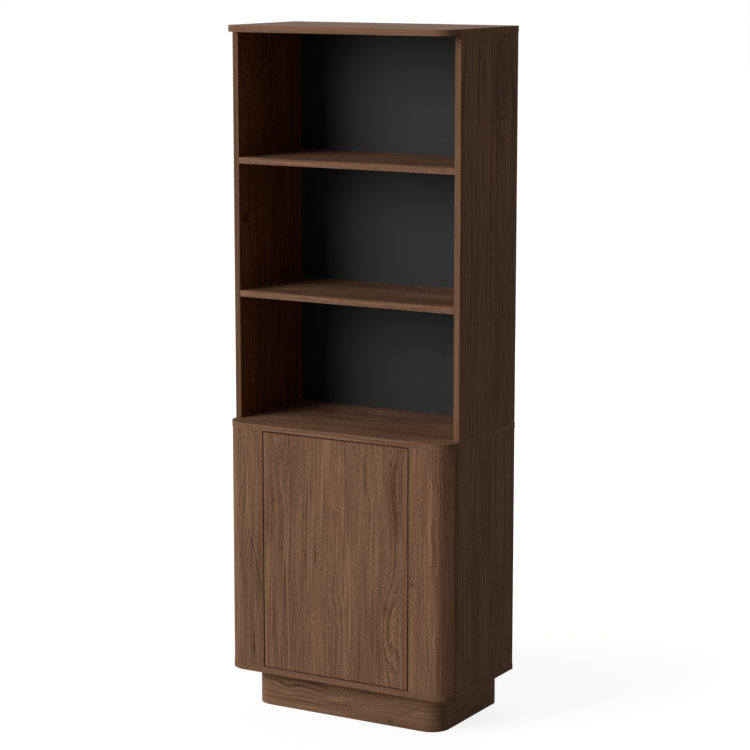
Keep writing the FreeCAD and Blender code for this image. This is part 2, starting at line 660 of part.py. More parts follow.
def stile(label, sign, dowels):
    """A square-edged upright glued behind the leaf of a corner post."""
    piece = Piece(label, FLOOR_Z)
    piece.pad("upright", rectangle(f"{sign} * {OPENING_X}",
                                   f"{sign} * ({OPENING_X} + Sizes.stile_width)",
                                   INNER_Y, STILE_BACK_Y), WALL_HEIGHT)
    for end, toward, start in ENDS:
        piece.drill(f"{end}_dowel", toward, start, dowels[STILE_DOWELS],
                    "Sizes.dowel_diameter", "Sizes.dowel_edge_depth")
    return piece


hinge_stile = stile("hinge_stile", -1, WALL_DOWELS[:DOWELS_PER_SIDE])
hinge_stile.drill("plate_screws", "-X", f"-{OPENING_X}", [
    (f"{HINGE_Y} + {PLATE_SCREW_Y}", f"{height} - {FLOOR_Z} + {step} * Sizes.plate_screw_up")
    for level, height in HINGES
    for step in (-1, 1)
], "Sizes.screw_shank", "Sizes.plate_screw_length - Sizes.plate_thick")

latch_stile = stile("latch_stile", 1, WALL_DOWELS[DOWELS_PER_SIDE:])
latch_stile.drill("latch_screws", "+X", OPENING_X, [
    (EAR_Y, f"Sizes.latch_above_floor - {FLOOR_Z} + {step} * {EAR_SCREW_UP}") for step in (-1, 1)
], "Sizes.screw_shank", "Sizes.latch_screw_length - Sizes.ear_thick")

# Dowels of the cabinet and of the rack
DOWEL_LENGTH = "(Sizes.dowel_face_depth + Sizes.dowel_edge_depth)"


def upright_dowels(label, centres, joints):
    """Dowels along Z at the same centres in two joints."""
    together(label, [
        bar(f"{label}_{end}_{index}", (across, deep, foot), "+Z",
            "Sizes.dowel_diameter", DOWEL_LENGTH)
        for end, foot in joints
        for index, (across, deep) in enumerate(centres, 1)
    ])


upright_dowels("cabinet_dowels", WALL_DOWELS, (
    ("foot", f"{FLOOR_Z} - Sizes.dowel_face_depth"),
    ("head", f"{CEILING_Z} - Sizes.dowel_edge_depth"),
))
upright_dowels("rack_dowels", RACK_DOWELS, (
    ("foot", "Sizes.cabinet_height - Sizes.dowel_face_depth"),
    ("head", f"{TOP_Z} - Sizes.dowel_edge_depth"),
))

# Inner shelf of the cabinet on four pins

SHELF_X = f"({INNER_X} - Sizes.inner_shelf_play)"
inner_shelf = Piece("cabinet_shelf", f"{CEILING_Z} - Sizes.inner_shelf_drop")
inner_shelf.pad("slab", rectangle(f"-{SHELF_X}", SHELF_X, SHELF_Y, SHELF_BACK_Y),
                "Sizes.board_thick")
inner_shelf.fillet("eased", inner_shelf.edges_at(("Y", SHELF_Y), ("Z", "0"))
                   + inner_shelf.edges_at(("Y", SHELF_Y), ("Z", "Sizes.board_thick")),
                   "Sizes.edge_ease")
together("shelf_pins", [
    bar(f"shelf_pin_{side}_{index}",
        (f"{sign} * ({INNER_X} - Sizes.pin_reach)", deep, f"{FLOOR_Z} + {PIN_Z}"),
        outward(sign), "Sizes.pin_diameter", "Sizes.pin_reach + Sizes.pin_grip")
    for side, sign in SIDES
    for index, deep in enumerate(PIN_COLUMNS, 1)
])

# Rack: two sides, two shelves on cam fittings and dowels

END_BAY = f"(({RACK_HEIGHT} - 2 * Sizes.board_thick - Sizes.middle_bay_extra) / 3)"
SHELVES = (
    ("upper", f"({TOP_Z} - {END_BAY})"),
    ("lower", f"(Sizes.cabinet_height + {END_BAY} + Sizes.board_thick)"),
)
CAM_ROWS = (RACK_JOINTS[0], RACK_JOINTS[3])
DOWEL_ROWS = (RACK_JOINTS[1], RACK_JOINTS[2])
CAM_X = f"({RACK_INNER_X} - Sizes.cam_inset)"
BOLT_HOLE = "(Sizes.cam_bolt_shaft + 2 * Sizes.cam_bolt_play)"

for number, (side, sign) in enumerate(SIDES):
    dowels = RACK_DOWELS[number * len(RACK_JOINTS):(number + 1) * len(RACK_JOINTS)]
    panel = Piece(f"rack_side_{side}", "Sizes.cabinet_height")
    panel.pad("slab", (
        (f"{sign} * {RACK_INNER_X}", RACK_Y),
        (f"{sign} * {RACK_X}", RACK_Y),
        (f"{sign} * {RACK_X}", BACK_Y),
        (f"{sign} * ({RACK_INNER_X} + Sizes.rabbet_width)", BACK_Y),
        (f"{sign} * ({RACK_INNER_X} + Sizes.rabbet_width)", PANEL_Y),
        (f"{sign} * {RACK_INNER_X}", PANEL_Y),
    ), RACK_HEIGHT)
    panel.fillet_upright("eased", (
        (f"{sign} * {RACK_INNER_X}", RACK_Y),
        (f"{sign} * {RACK_X}", RACK_Y),
    ), "Sizes.edge_ease")
    for end, toward, start in (("foot", "+Z", "0"), ("head", "-Z", RACK_HEIGHT)):
        panel.drill(f"{end}_dowels", toward, start, dowels,
                    "Sizes.dowel_diameter", "Sizes.dowel_edge_depth")
    for level, top in SHELVES:
        middle = f"{top} - {HALF_BOARD} - Sizes.cabinet_height"
        panel.drill(f"{level}_bolts", outward(sign), f"{sign} * {RACK_INNER_X}",
                    [(deep, middle) for deep in CAM_ROWS],
                    "Sizes.cam_bolt_thread", "Sizes.cam_bolt_grip")
        panel.drill(f"{level}_dowels", outward(sign), f"{sign} * {RACK_INNER_X}",
                    [(deep, middle) for deep in DOWEL_ROWS],
                    "Sizes.dowel_diameter", "Sizes.dowel_face_depth")
    panel.drill("back_screws", "-Y", PANEL_Y, [
        (f"{sign} * ({RACK_INNER_X} + {PANEL_SCREW_X})", f"{RACK_HEIGHT} * {share}")
        for share in RACK_SCREW_SHARES
    ], "Sizes.screw_shank", "Sizes.panel_screw_length - Sizes.panel_thick")

for level, top in SHELVES:
    shelf = Piece(f"shelf_{level}", f"{top} - Sizes.board_thick")
    shelf.pad("slab", rectangle(f"-{RACK_INNER_X}", RACK_INNER_X, RACK_Y, PANEL_Y),
              "Sizes.board_thick")
    shelf.fillet("eased", shelf.edges_at(("Y", RACK_Y), ("Z", "0"))
                 + shelf.edges_at(("Y", RACK_Y), ("Z", "Sizes.board_thick")), "Sizes.edge_ease")
    cams = [(f"{sign} * {CAM_X}", deep) for side, sign in SIDES for deep in CAM_ROWS]
    shelf.drill("cams", "+Z", "0", cams, "Sizes.cam_diameter", "Sizes.cam_depth")
    for side, sign in SIDES:
        end = f"{sign} * {RACK_INNER_X}"
        shelf.drill(f"{side}_bolts", inward(sign), end, [(deep, HALF_BOARD) for deep in CAM_ROWS],
                    BOLT_HOLE, "Sizes.cam_inset")
        shelf.drill(f"{side}_dowels", inward(sign), end,
                    [(deep, HALF_BOARD) for deep in DOWEL_ROWS],
                    "Sizes.dowel_diameter", "Sizes.dowel_edge_depth")
    shelf.drill("back_screws", "-Y", PANEL_Y, [
        (f"{RACK_INNER_X} * {share}", HALF_BOARD) for share in SHELF_SCREW_SHARES
    ], "Sizes.screw_shank", "Sizes.panel_screw_length - Sizes.panel_thick")

# The places of the shelf fittings: name, side, row and the height of the shelf's lower face
FITTINGS = tuple(
    (f"{level}_{side}_{index}", sign, deep, f"({top} - Sizes.board_thick)")
    for level, top in SHELVES
    for side, sign in SIDES
    for index, deep in enumerate(CAM_ROWS, 1)
)


def cam(name, sign, deep, foot):
    """A cam disc with the hole for its bolt and a driver slot below."""
    middle = f"{sign} * {CAM_X}"
    disc = bar(f"cam_disc_{name}", (middle, deep, foot), "+Z",
               "Sizes.cam_diameter - 2 * Sizes.cam_play", "Sizes.cam_depth")
    edge = f"{sign} * ({CAM_X} + Sizes.cam_diameter / 2)"
    length = "Sizes.cam_diameter / 2 + Sizes.cam_bolt_reach + Sizes.cam_bolt_end_play"
    hole = bar(f"cam_hole_{name}", (edge, deep, f"{foot} + {HALF_BOARD}"), inward(sign),
               BOLT_HOLE, length)
    slot = primitive("Part::Box", f"cam_slot_{name}", (
        f"{middle} - Sizes.cam_diameter / 3",
        f"{deep} - Sizes.cam_slot_width / 2",
        foot,
    ), "+Z", {
        "Length": "Sizes.cam_diameter * 2 / 3",
        "Width": "Sizes.cam_slot_width",
        "Height": "Sizes.cam_slot_depth",
    })
    return trimmed(f"cam_{name}", trimmed(f"cam_bored_{name}", disc, hole), slot)


def cam_bolt(name, sign, deep, foot):
    """A bolt with a thread in the rack side and a smooth shaft that reaches into the cam."""
    height = f"{foot} + {HALF_BOARD}"
    start = f"{sign} * {RACK_INNER_X}"
    thread = bar(f"bolt_thread_{name}", (start, deep, height), outward(sign),
                 "Sizes.cam_bolt_thread", "Sizes.cam_bolt_grip")
    shaft = bar(f"bolt_shaft_{name}", (start, deep, height), inward(sign),
                "Sizes.cam_bolt_shaft", "Sizes.cam_inset + Sizes.cam_bolt_reach")
    return fused(f"cam_bolt_{name}", [thread, shaft])


together("cam_locks", [cam(*fitting) for fitting in FITTINGS])
together("cam_bolts", [cam_bolt(*fitting) for fitting in FITTINGS])
together("shelf_dowels", [
    bar(f"shelf_dowel_{level}_{side}_{index}",
        (f"{sign} * ({RACK_INNER_X} + Sizes.dowel_face_depth)", deep, f"{top} - {HALF_BOARD}"),
        inward(sign), "Sizes.dowel_diameter", DOWEL_LENGTH)
    for level, top in SHELVES
    for side, sign in SIDES
    for index, deep in enumerate(DOWEL_ROWS, 1)
])

# Back panels, let into the stepped back edges of the sides and screwed on from behind

RACK_PANEL_SCREWS = tuple(
    (f"{sign} * ({RACK_INNER_X} + {PANEL_SCREW_X})", f"{RACK_HEIGHT} * {share}")
    for side, sign in SIDES
    for share in RACK_SCREW_SHARES
) + tuple(
    (f"{RACK_INNER_X} * {share}", f"{top} - {HALF_BOARD} - Sizes.cabinet_height")
    for level, top in SHELVES
    for share in SHELF_SCREW_SHARES
)
CABINET_PANEL_SCREWS = tuple(
    (f"{sign} * ({INNER_X} + {PANEL_SCREW_X})", f"{WALL_HEIGHT} * {share}")
    for side, sign in SIDES
    for share in CABINET_SCREW_SHARES
)


def back_panel(label, base, height, inner, centres):
    """A thin panel between two boards and its row of screws."""
    edge = f"({inner} + Sizes.rabbet_width)"
    piece = Piece(label, base)
    piece.pad("sheet", rectangle(f"-{edge}", edge, PANEL_Y, BACK_Y), height)
    piece.countersink("screw_holes", "-Y", BACK_Y, centres,
                      "Sizes.screw_shank", "Sizes.screw_head", "Sizes.panel_thick")
    screws(f"{label}_screws", [(across, BACK_Y, f"{base} + {up}") for across, up in centres],
           "-Y", "Sizes.panel_screw_length")
    return piece


rack_back = back_panel("rack_back", "Sizes.cabinet_height", RACK_HEIGHT, RACK_INNER_X,
                       RACK_PANEL_SCREWS)
rack_back.drill("wall_screw", "-Y", BACK_Y,
                ((BRACKET_X, f"{RACK_HEIGHT} - Sizes.bracket_hole_drop"),),
                "Sizes.panel_hole", "Sizes.panel_thick")
back_panel("cabinet_back", FLOOR_Z, WALL_HEIGHT, INNER_X, CABINET_PANEL_SCREWS)

# Door leaf, pocketed for two hinge cups

CUP_X = f"(Sizes.cup_centre - {DOOR_X})"
CUP_SCREWS = tuple(
    (f"{CUP_X} + Sizes.wing_screw_across", f"{height} + {step} * Sizes.wing_screw_up")
    for level, height in HINGES
    for step in (-1, 1)
)
STRIKE_SCREWS = tuple(
    (LATCH_X, f"Sizes.latch_above_floor + {step} * Sizes.strike_screw_up") for step in (-1, 1)
)


def on_door(centres):
    """The same centres, counted from the foot of the door."""
    return [(across, f"{up} - {DOOR_Z}") for across, up in centres]


door = Piece("door_panel", DOOR_Z)
door.pad("slab", rectangle(f"-{DOOR_X}", DOOR_X, WALL_Y, DOOR_BACK_Y),
         DOOR_HEIGHT)
door.fillet("eased", door.edges_at(("Y", WALL_Y)), "Sizes.edge_ease")
door.drill("cups", "-Y", DOOR_BACK_Y, on_door([(CUP_X, height) for level, height in HINGES]),
           "Sizes.cup_diameter", "Sizes.cup_depth")
door.drill("cup_screws", "-Y", DOOR_BACK_Y, on_door(CUP_SCREWS),
           "Sizes.screw_shank", "Sizes.cup_screw_length - Sizes.cup_flange")
door.drill("strike_screws", "-Y", DOOR_BACK_Y, on_door(STRIKE_SCREWS),
           "Sizes.screw_shank", "Sizes.strike_screw_length - Sizes.strike_thick")

# Hinges: a cup in the door holds the pin, and an arm on the stile reaches round into the cup

CUP_RADIUS = "(Sizes.cup_diameter / 2)"
CUP_INNER = "(Sizes.cup_diameter / 2 - Sizes.cup_wall)"
PIN_X = "(Sizes.hinge_edge - Sizes.cup_centre)"
PIN_Y = "(Sizes.hinge_depth - Sizes.door_thick)"
PLATE_X = "(-Sizes.hinge_edge - Sizes.door_gap)"
ARM_X = f"({PLATE_X} + Sizes.plate_thick)"
ARM_FACE_X = f"({ARM_X} + Sizes.arm_thick)"
PLATE_END_Y = "(Sizes.plate_front + Sizes.plate_length)"
HALF_STRIP = "(Sizes.arm_thick / 2)"


def hinge_cup(label, height):
    """A pressed cup with a flange, two screw wings and two lugs that hold the pin."""
    piece = Piece(label, height, CUP_X, DOOR_BACK_Y)
    piece.turn("bowl", (
        ("0", "-Sizes.cup_depth"),
        (CUP_RADIUS, "-Sizes.cup_depth"),
        (CUP_RADIUS, "0"),
        (CUP_INNER, "0"),
        (CUP_INNER, "-Sizes.cup_depth + Sizes.cup_wall"),
        ("0", "-Sizes.cup_depth + Sizes.cup_wall"),
    ))
    piece.pad_round("rim", (("0", "0"),), "Sizes.cup_diameter + 2 * Sizes.cup_rim",
                    "Sizes.cup_flange", "XZ_Plane", "-Sizes.cup_flange")
    wings = rectangle("0", "Sizes.wing_width", "-Sizes.wing_reach", "Sizes.wing_reach")
    piece.pad("wings", wings, "Sizes.cup_flange", "XZ_Plane", "-Sizes.cup_flange")
    piece.drill("mouth", "-Y", "Sizes.cup_flange", (("0", "0"),), f"2 * {CUP_INNER}",
                "Sizes.cup_flange")
    lug = rectangle(f"{PIN_X} - Sizes.lug_margin", f"{PIN_X} + Sizes.lug_margin",
                    "-Sizes.cup_depth + Sizes.cup_wall / 2", f"{PIN_Y} + Sizes.lug_margin")
    lug_length = "Sizes.lug_outer - Sizes.lug_inner"
    piece.pad("upper_lug", lug, lug_length, "XY_Plane", "Sizes.lug_inner")
    piece.pad("lower_lug", lug, lug_length, "XY_Plane", "-Sizes.lug_outer")
    piece.drill("pin_holes", "+Z", "-Sizes.lug_outer", ((PIN_X, PIN_Y),), "Sizes.hinge_pin",
                "2 * Sizes.lug_outer")
    piece.countersink("screw_holes", "-Y", "Sizes.cup_flange", [
        ("Sizes.wing_screw_across", f"{step} * Sizes.wing_screw_up") for step in (-1, 1)
    ], "Sizes.screw_shank", "Sizes.screw_head", "Sizes.cup_flange")


def hinge_arm(label, height):
    """A bent strip: an eye on the pin, a leg out of the cup, a run back and a foot on its plate."""
    piece = Piece(label, f"{height} - Sizes.arm_width / 2", HINGE_X, HINGE_Y)
    inner_leg = f"(Sizes.arm_reach - {HALF_STRIP})"
    outer_leg = f"(Sizes.arm_reach + {HALF_STRIP})"
    inner_run = f"(Sizes.arm_back - {HALF_STRIP})"
    outer_run = f"(Sizes.arm_back + {HALF_STRIP})"
    piece.pad("strip", (
        ("0", f"-{HALF_STRIP}"),
        (outer_leg, f"-{HALF_STRIP}"),
        (outer_leg, outer_run),
        (ARM_FACE_X, outer_run),
        (ARM_FACE_X, PLATE_END_Y),
        (ARM_X, PLATE_END_Y),
        (ARM_X, inner_run),
        (inner_leg, inner_run),
        (inner_leg, HALF_STRIP),
        ("0", HALF_STRIP),
    ), "Sizes.arm_width")
    piece.fillet_upright("bends_inside", (
        (inner_leg, HALF_STRIP),
        (inner_leg, inner_run),
        (ARM_FACE_X, outer_run),
    ), "Sizes.arm_bend", grows=True)
    piece.fillet_upright("bends_outside", (
        (outer_leg, f"-{HALF_STRIP}"),
        (outer_leg, outer_run),
        (ARM_X, inner_run),
    ), "Sizes.arm_bend + Sizes.arm_thick")
    bore = "(Sizes.hinge_pin + 2 * Sizes.hinge_play)"
    piece.pad_round("eye", (("0", "0"),), f"{bore} + 2 * Sizes.eye_wall", "Sizes.arm_width")
    piece.drill("bore", "+Z", "0", (("0", "0"),), bore, "Sizes.arm_width")
    piece.drill("screw_hole", "-X", ARM_FACE_X, ((ARM_SCREW_Y, "Sizes.arm_width / 2"),),
                "Sizes.arm_screw_shank", "Sizes.arm_thick")


def hinge_plate(label, height):
    """The flat plate under the arm's foot, screwed to the stile."""
    piece = Piece(label, f"{height} - Sizes.plate_height / 2", HINGE_X, HINGE_Y)
    outline = rectangle(PLATE_X, ARM_X, "Sizes.plate_front", PLATE_END_Y)
    piece.pad("sheet", outline, "Sizes.plate_height")
    piece.countersink("screw_holes", "-X", ARM_X, [
        (PLATE_SCREW_Y, f"Sizes.plate_height / 2 + {step} * Sizes.plate_screw_up")
        for step in (-1, 1)
    ], "Sizes.screw_shank", "Sizes.screw_head", "Sizes.plate_thick")
    piece.drill("arm_screw", "-X", ARM_X, ((ARM_SCREW_Y, "Sizes.plate_height / 2"),),
                "Sizes.arm_screw_shank", "Sizes.plate_thick")


def arm_screw(name, height):
    """A pan-head machine screw through the arm and its plate."""
    face = (f"{HINGE_X} + {ARM_FACE_X}", f"{HINGE_Y} + {ARM_SCREW_Y}", height)
    head = bar(f"{name}_head", face, "+X", "Sizes.arm_screw_head", "Sizes.arm_screw_head_height")
    shank = bar(f"{name}_shank", face, "-X", "Sizes.arm_screw_shank",
                "Sizes.arm_thick + Sizes.plate_thick")
    return fused(name, [head, shank])


for level, height in HINGES:
    hinge_cup(f"hinge_cup_{level}", height)
    hinge_arm(f"hinge_arm_{level}", height)
    hinge_plate(f"hinge_plate_{level}", height)
    foot = (HINGE_X, HINGE_Y, f"{height} - Sizes.lug_outer")
    keep(f"hinge_pin_{level}", bar(f"hinge_pin_{level}", foot, "+Z", "Sizes.hinge_pin",
                                   "2 * Sizes.lug_outer"))
screws("hinge_cup_screws",
       [(across, f"{DOOR_BACK_Y} + Sizes.cup_flange", up) for across, up in CUP_SCREWS],
       "-Y", "Sizes.cup_screw_length")
screws("hinge_plate_screws", [
    (f"{HINGE_X} + {ARM_X}", f"{HINGE_Y} + {PLATE_SCREW_Y}",
     f"{height} + {step} * Sizes.plate_screw_up")
    for level, height in HINGES
    for step in (-1, 1)
], "-X", "Sizes.plate_screw_length")
together("hinge_arm_screws", [arm_screw(f"arm_screw_{level}", height) for level, height in HINGES])

# Push latch: the housing on the stile guides a sprung plunger whose magnet holds the door

LATCH_Z = "Sizes.latch_above_floor"
TIP_Y = f"({DOOR_BACK_Y} + Sizes.strike_thick + Sizes.latch_touch)"
PLUNGER_END_Y = f"({TIP_Y} + Sizes.plunger_length)"
SPRING_Y = f"({PLUNGER_END_Y} + Sizes.latch_touch)"
SPRING_LENGTH = f"({LATCH_Y} + Sizes.latch_bore_depth - {SPRING_Y})"

housing = Piece("latch_housing", f"{LATCH_Z} - Sizes.latch_height / 2")
housing.pad("case", rectangle(f"{OPENING_X} - Sizes.latch_width", OPENING_X,
                              LATCH_Y, f"{LATCH_Y} + Sizes.latch_length"), "Sizes.latch_height")
housing.pad("ears", rectangle(EAR_X, OPENING_X, f"{EAR_Y} - Sizes.ear_length / 2",
                              f"{EAR_Y} + Sizes.ear_length / 2"),
            "Sizes.latch_height + 2 * Sizes.ear_reach", "XY_Plane", "-Sizes.ear_reach")
housing.drill("bore", "+Y", LATCH_Y, ((LATCH_X, "Sizes.latch_height / 2"),),
              "Sizes.latch_bore", "Sizes.latch_bore_depth")
housing.countersink("screw_holes", "+X", EAR_X, [
    (EAR_Y, f"Sizes.latch_height / 2 + {step} * {EAR_SCREW_UP}") for step in (-1, 1)
], "Sizes.screw_shank", "Sizes.screw_head", "Sizes.ear_thick")
screws("latch_screws",
       [(EAR_X, EAR_Y, f"{LATCH_Z} + {step} * {EAR_SCREW_UP}") for step in (-1, 1)],
       "+X", "Sizes.latch_screw_length")

TIP = (LATCH_X, TIP_Y, LATCH_Z)
keep("latch_plunger", trimmed(
    "latch_plunger",
    bar("plunger_rod", TIP, "+Y", "Sizes.latch_bore - 2 * Sizes.latch_play",
        "Sizes.plunger_length"),
    bar("plunger_recess", TIP, "+Y", "Sizes.magnet_diameter", "Sizes.magnet_thick"),
))
keep("latch_magnet", bar("latch_magnet", TIP, "+Y", "Sizes.magnet_diameter", "Sizes.magnet_thick"))
SPRING_START = (LATCH_X, SPRING_Y, LATCH_Z)
keep("latch_spring", trimmed(
    "latch_spring",
    bar("spring_outside", SPRING_START, "+Y", "Sizes.spring_outer", SPRING_LENGTH),
    bar("spring_inside", SPRING_START, "+Y", "Sizes.spring_inner", SPRING_LENGTH),
))

strike = Piece("strike_plate", f"{LATCH_Z} - Sizes.strike_height / 2")
strike.pad("sheet", rectangle(f"{LATCH_X} - Sizes.strike_width / 2",
                              f"{LATCH_X} + Sizes.strike_width / 2",
                              DOOR_BACK_Y, f"{DOOR_BACK_Y} + Sizes.strike_thick"),
           "Sizes.strike_height")
strike.countersink("screw_holes", "-Y", f"{DOOR_BACK_Y} + Sizes.strike_thick", [
    (LATCH_X, f"Sizes.strike_height / 2 + {step} * Sizes.strike_screw_up") for step in (-1, 1)
], "Sizes.screw_shank", "Sizes.screw_head", "Sizes.strike_thick")
screws("strike_screws",
       [(across, f"{DOOR_BACK_Y} + Sizes.strike_thick", up) for across, up in STRIKE_SCREWS],
       "-Y", "Sizes.strike_screw_length")

# Bracket under the top board, for the screw that holds the shelf to a wall

LEDGE_Z = "(Sizes.bracket_leg - Sizes.bracket_thick)"
BRACKET_FACE_Y = f"({PANEL_Y} - Sizes.bracket_thick)"
bracket = Piece("wall_bracket", f"{TOP_Z} - Sizes.bracket_leg")
bracket.pad("angle", (
    (PANEL_Y, "0"),
    (PANEL_Y, "Sizes.bracket_leg"),
    (f"{PANEL_Y} - Sizes.bracket_leg", "Sizes.bracket_leg"),
    (f"{PANEL_Y} - Sizes.bracket_leg", LEDGE_Z),
    (BRACKET_FACE_Y, LEDGE_Z),
    (BRACKET_FACE_Y, "0"),
), "Sizes.bracket_width", "YZ_Plane", f"{BRACKET_X} - Sizes.bracket_width / 2")
bracket.countersink("screw_holes", "+Z", LEDGE_Z, BRACKET_SCREWS,
                    "Sizes.screw_shank", "Sizes.screw_head", "Sizes.bracket_thick")
bracket.drill("wall_hole", "+Y", BRACKET_FACE_Y,
              ((BRACKET_X, "Sizes.bracket_leg - Sizes.bracket_hole_drop"),),
              "Sizes.bracket_hole", "Sizes.bracket_thick")
screws("bracket_screws",
       [(across, deep, f"{TOP_Z} - Sizes.bracket_thick") for across, deep in BRACKET_SCREWS],
       "+Z", "Sizes.bracket_screw_length")

# Check every object of the document, then write each piece

doc.recompute()
for item in doc.Objects:
    if "Invalid" in item.State or "Error" in item.State:
        raise RuntimeError(f"{item.Label} did not build: {item.State}")
for piece in pieces:
    if piece.Shape.isNull() or not piece.Shape.isValid():
        raise RuntimeError(f"{piece.Label} has no sound shape")

os.makedirs("parts", exist_ok=True)
for piece in pieces:
    piece.Shape.exportStep(f"parts/{piece.Label}.step")
    print(piece.Label, len(piece.Shape.Solids), round(piece.Shape.Volume, 1))
print(len(pieces), "pieces")
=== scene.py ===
"""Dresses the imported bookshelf: walnut faces, black back sheets, fittings, lamps and camera."""

import logging
import math
from abc import ABC, abstractmethod
from collections.abc import Iterable, Sequence
from dataclasses import dataclass
from enum import Enum
from functools import cached_property, reduce

import bpy
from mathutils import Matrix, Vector


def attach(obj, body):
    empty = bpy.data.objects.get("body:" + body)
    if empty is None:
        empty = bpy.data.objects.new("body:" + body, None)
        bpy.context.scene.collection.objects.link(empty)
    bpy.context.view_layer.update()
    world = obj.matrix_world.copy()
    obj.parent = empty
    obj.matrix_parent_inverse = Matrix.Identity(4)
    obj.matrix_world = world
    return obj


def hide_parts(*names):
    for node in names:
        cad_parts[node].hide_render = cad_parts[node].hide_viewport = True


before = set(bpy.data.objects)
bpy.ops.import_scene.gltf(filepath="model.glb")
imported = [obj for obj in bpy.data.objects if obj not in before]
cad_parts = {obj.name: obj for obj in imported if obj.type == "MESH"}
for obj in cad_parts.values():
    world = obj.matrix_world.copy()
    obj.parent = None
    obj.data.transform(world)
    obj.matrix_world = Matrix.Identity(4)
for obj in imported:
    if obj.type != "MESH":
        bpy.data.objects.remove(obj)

logging.basicConfig(level=logging.INFO, format="%(message)s")
log = logging.getLogger("bookshelf")

Socket = bpy.types.NodeSocket
Node = bpy.types.Node
Tree = bpy.types.NodeTree
Material = bpy.types.Material
Value = float | Sequence[float] | Socket
Point = tuple[float, float, float]
Colour = tuple[float, float, float, float]
Rows = tuple[tuple[float, ...], ...]

MM = 0.001
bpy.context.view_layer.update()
WHITE = (1.0, 1.0, 1.0, 1.0)

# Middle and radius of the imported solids' rounded front corners, in millimetres
WALL_CORNER = (275.0, -126.0, 49.0)
PLINTH_CORNER = (224.0, -75.0, 50.0)

# Width in millimetres and tone of the painted shade on edge faces that sit in the door's gaps
GAP_SHADE_WIDTH = 0.8
GAP_SHADE_TONE = -0.6

# A face is the edge of its board where less than this share of its direction points through the
# board; its grain is another draw, with less contrast
EDGE_FACING = 0.6
EDGE_SEED = 5.0
EDGE_CONTRAST = -0.45

# How nearly a face points at the wall or floor to be left raw, and at the bays for painted red shade
RAW_FACING = 0.7
BAY_FACING = 0.5

# Waves along and across the grain, in a metre, and how far they push the edge of a mark
WOBBLE_ALONG = 14.0
WOBBLE_ACROSS = 26.0
WOBBLE_REACH = 0.009

# Left and right of the middle, or below and above it
BOTH_WAYS = (-1, 1)

# Sizes of every dowel, in millimetres
DOWEL = {"Diameter": 8.0, "Length": 30.0, "Flute": 0.35}


def screen(*levels: float) -> Colour:
    """A colour as a screen shows it, turned into the shader's linear values.

    Args:
        *levels: Red, green and blue, from 0 to 255.

    Returns:
        The linear colour with full alpha.
    """
    parts = (level / 255 for level in levels)
    linear = (part / 12.92 if part <= 0.04045 else ((part + 0.055) / 1.055) ** 2.4 for part in parts)
    return (*linear, 1.0)


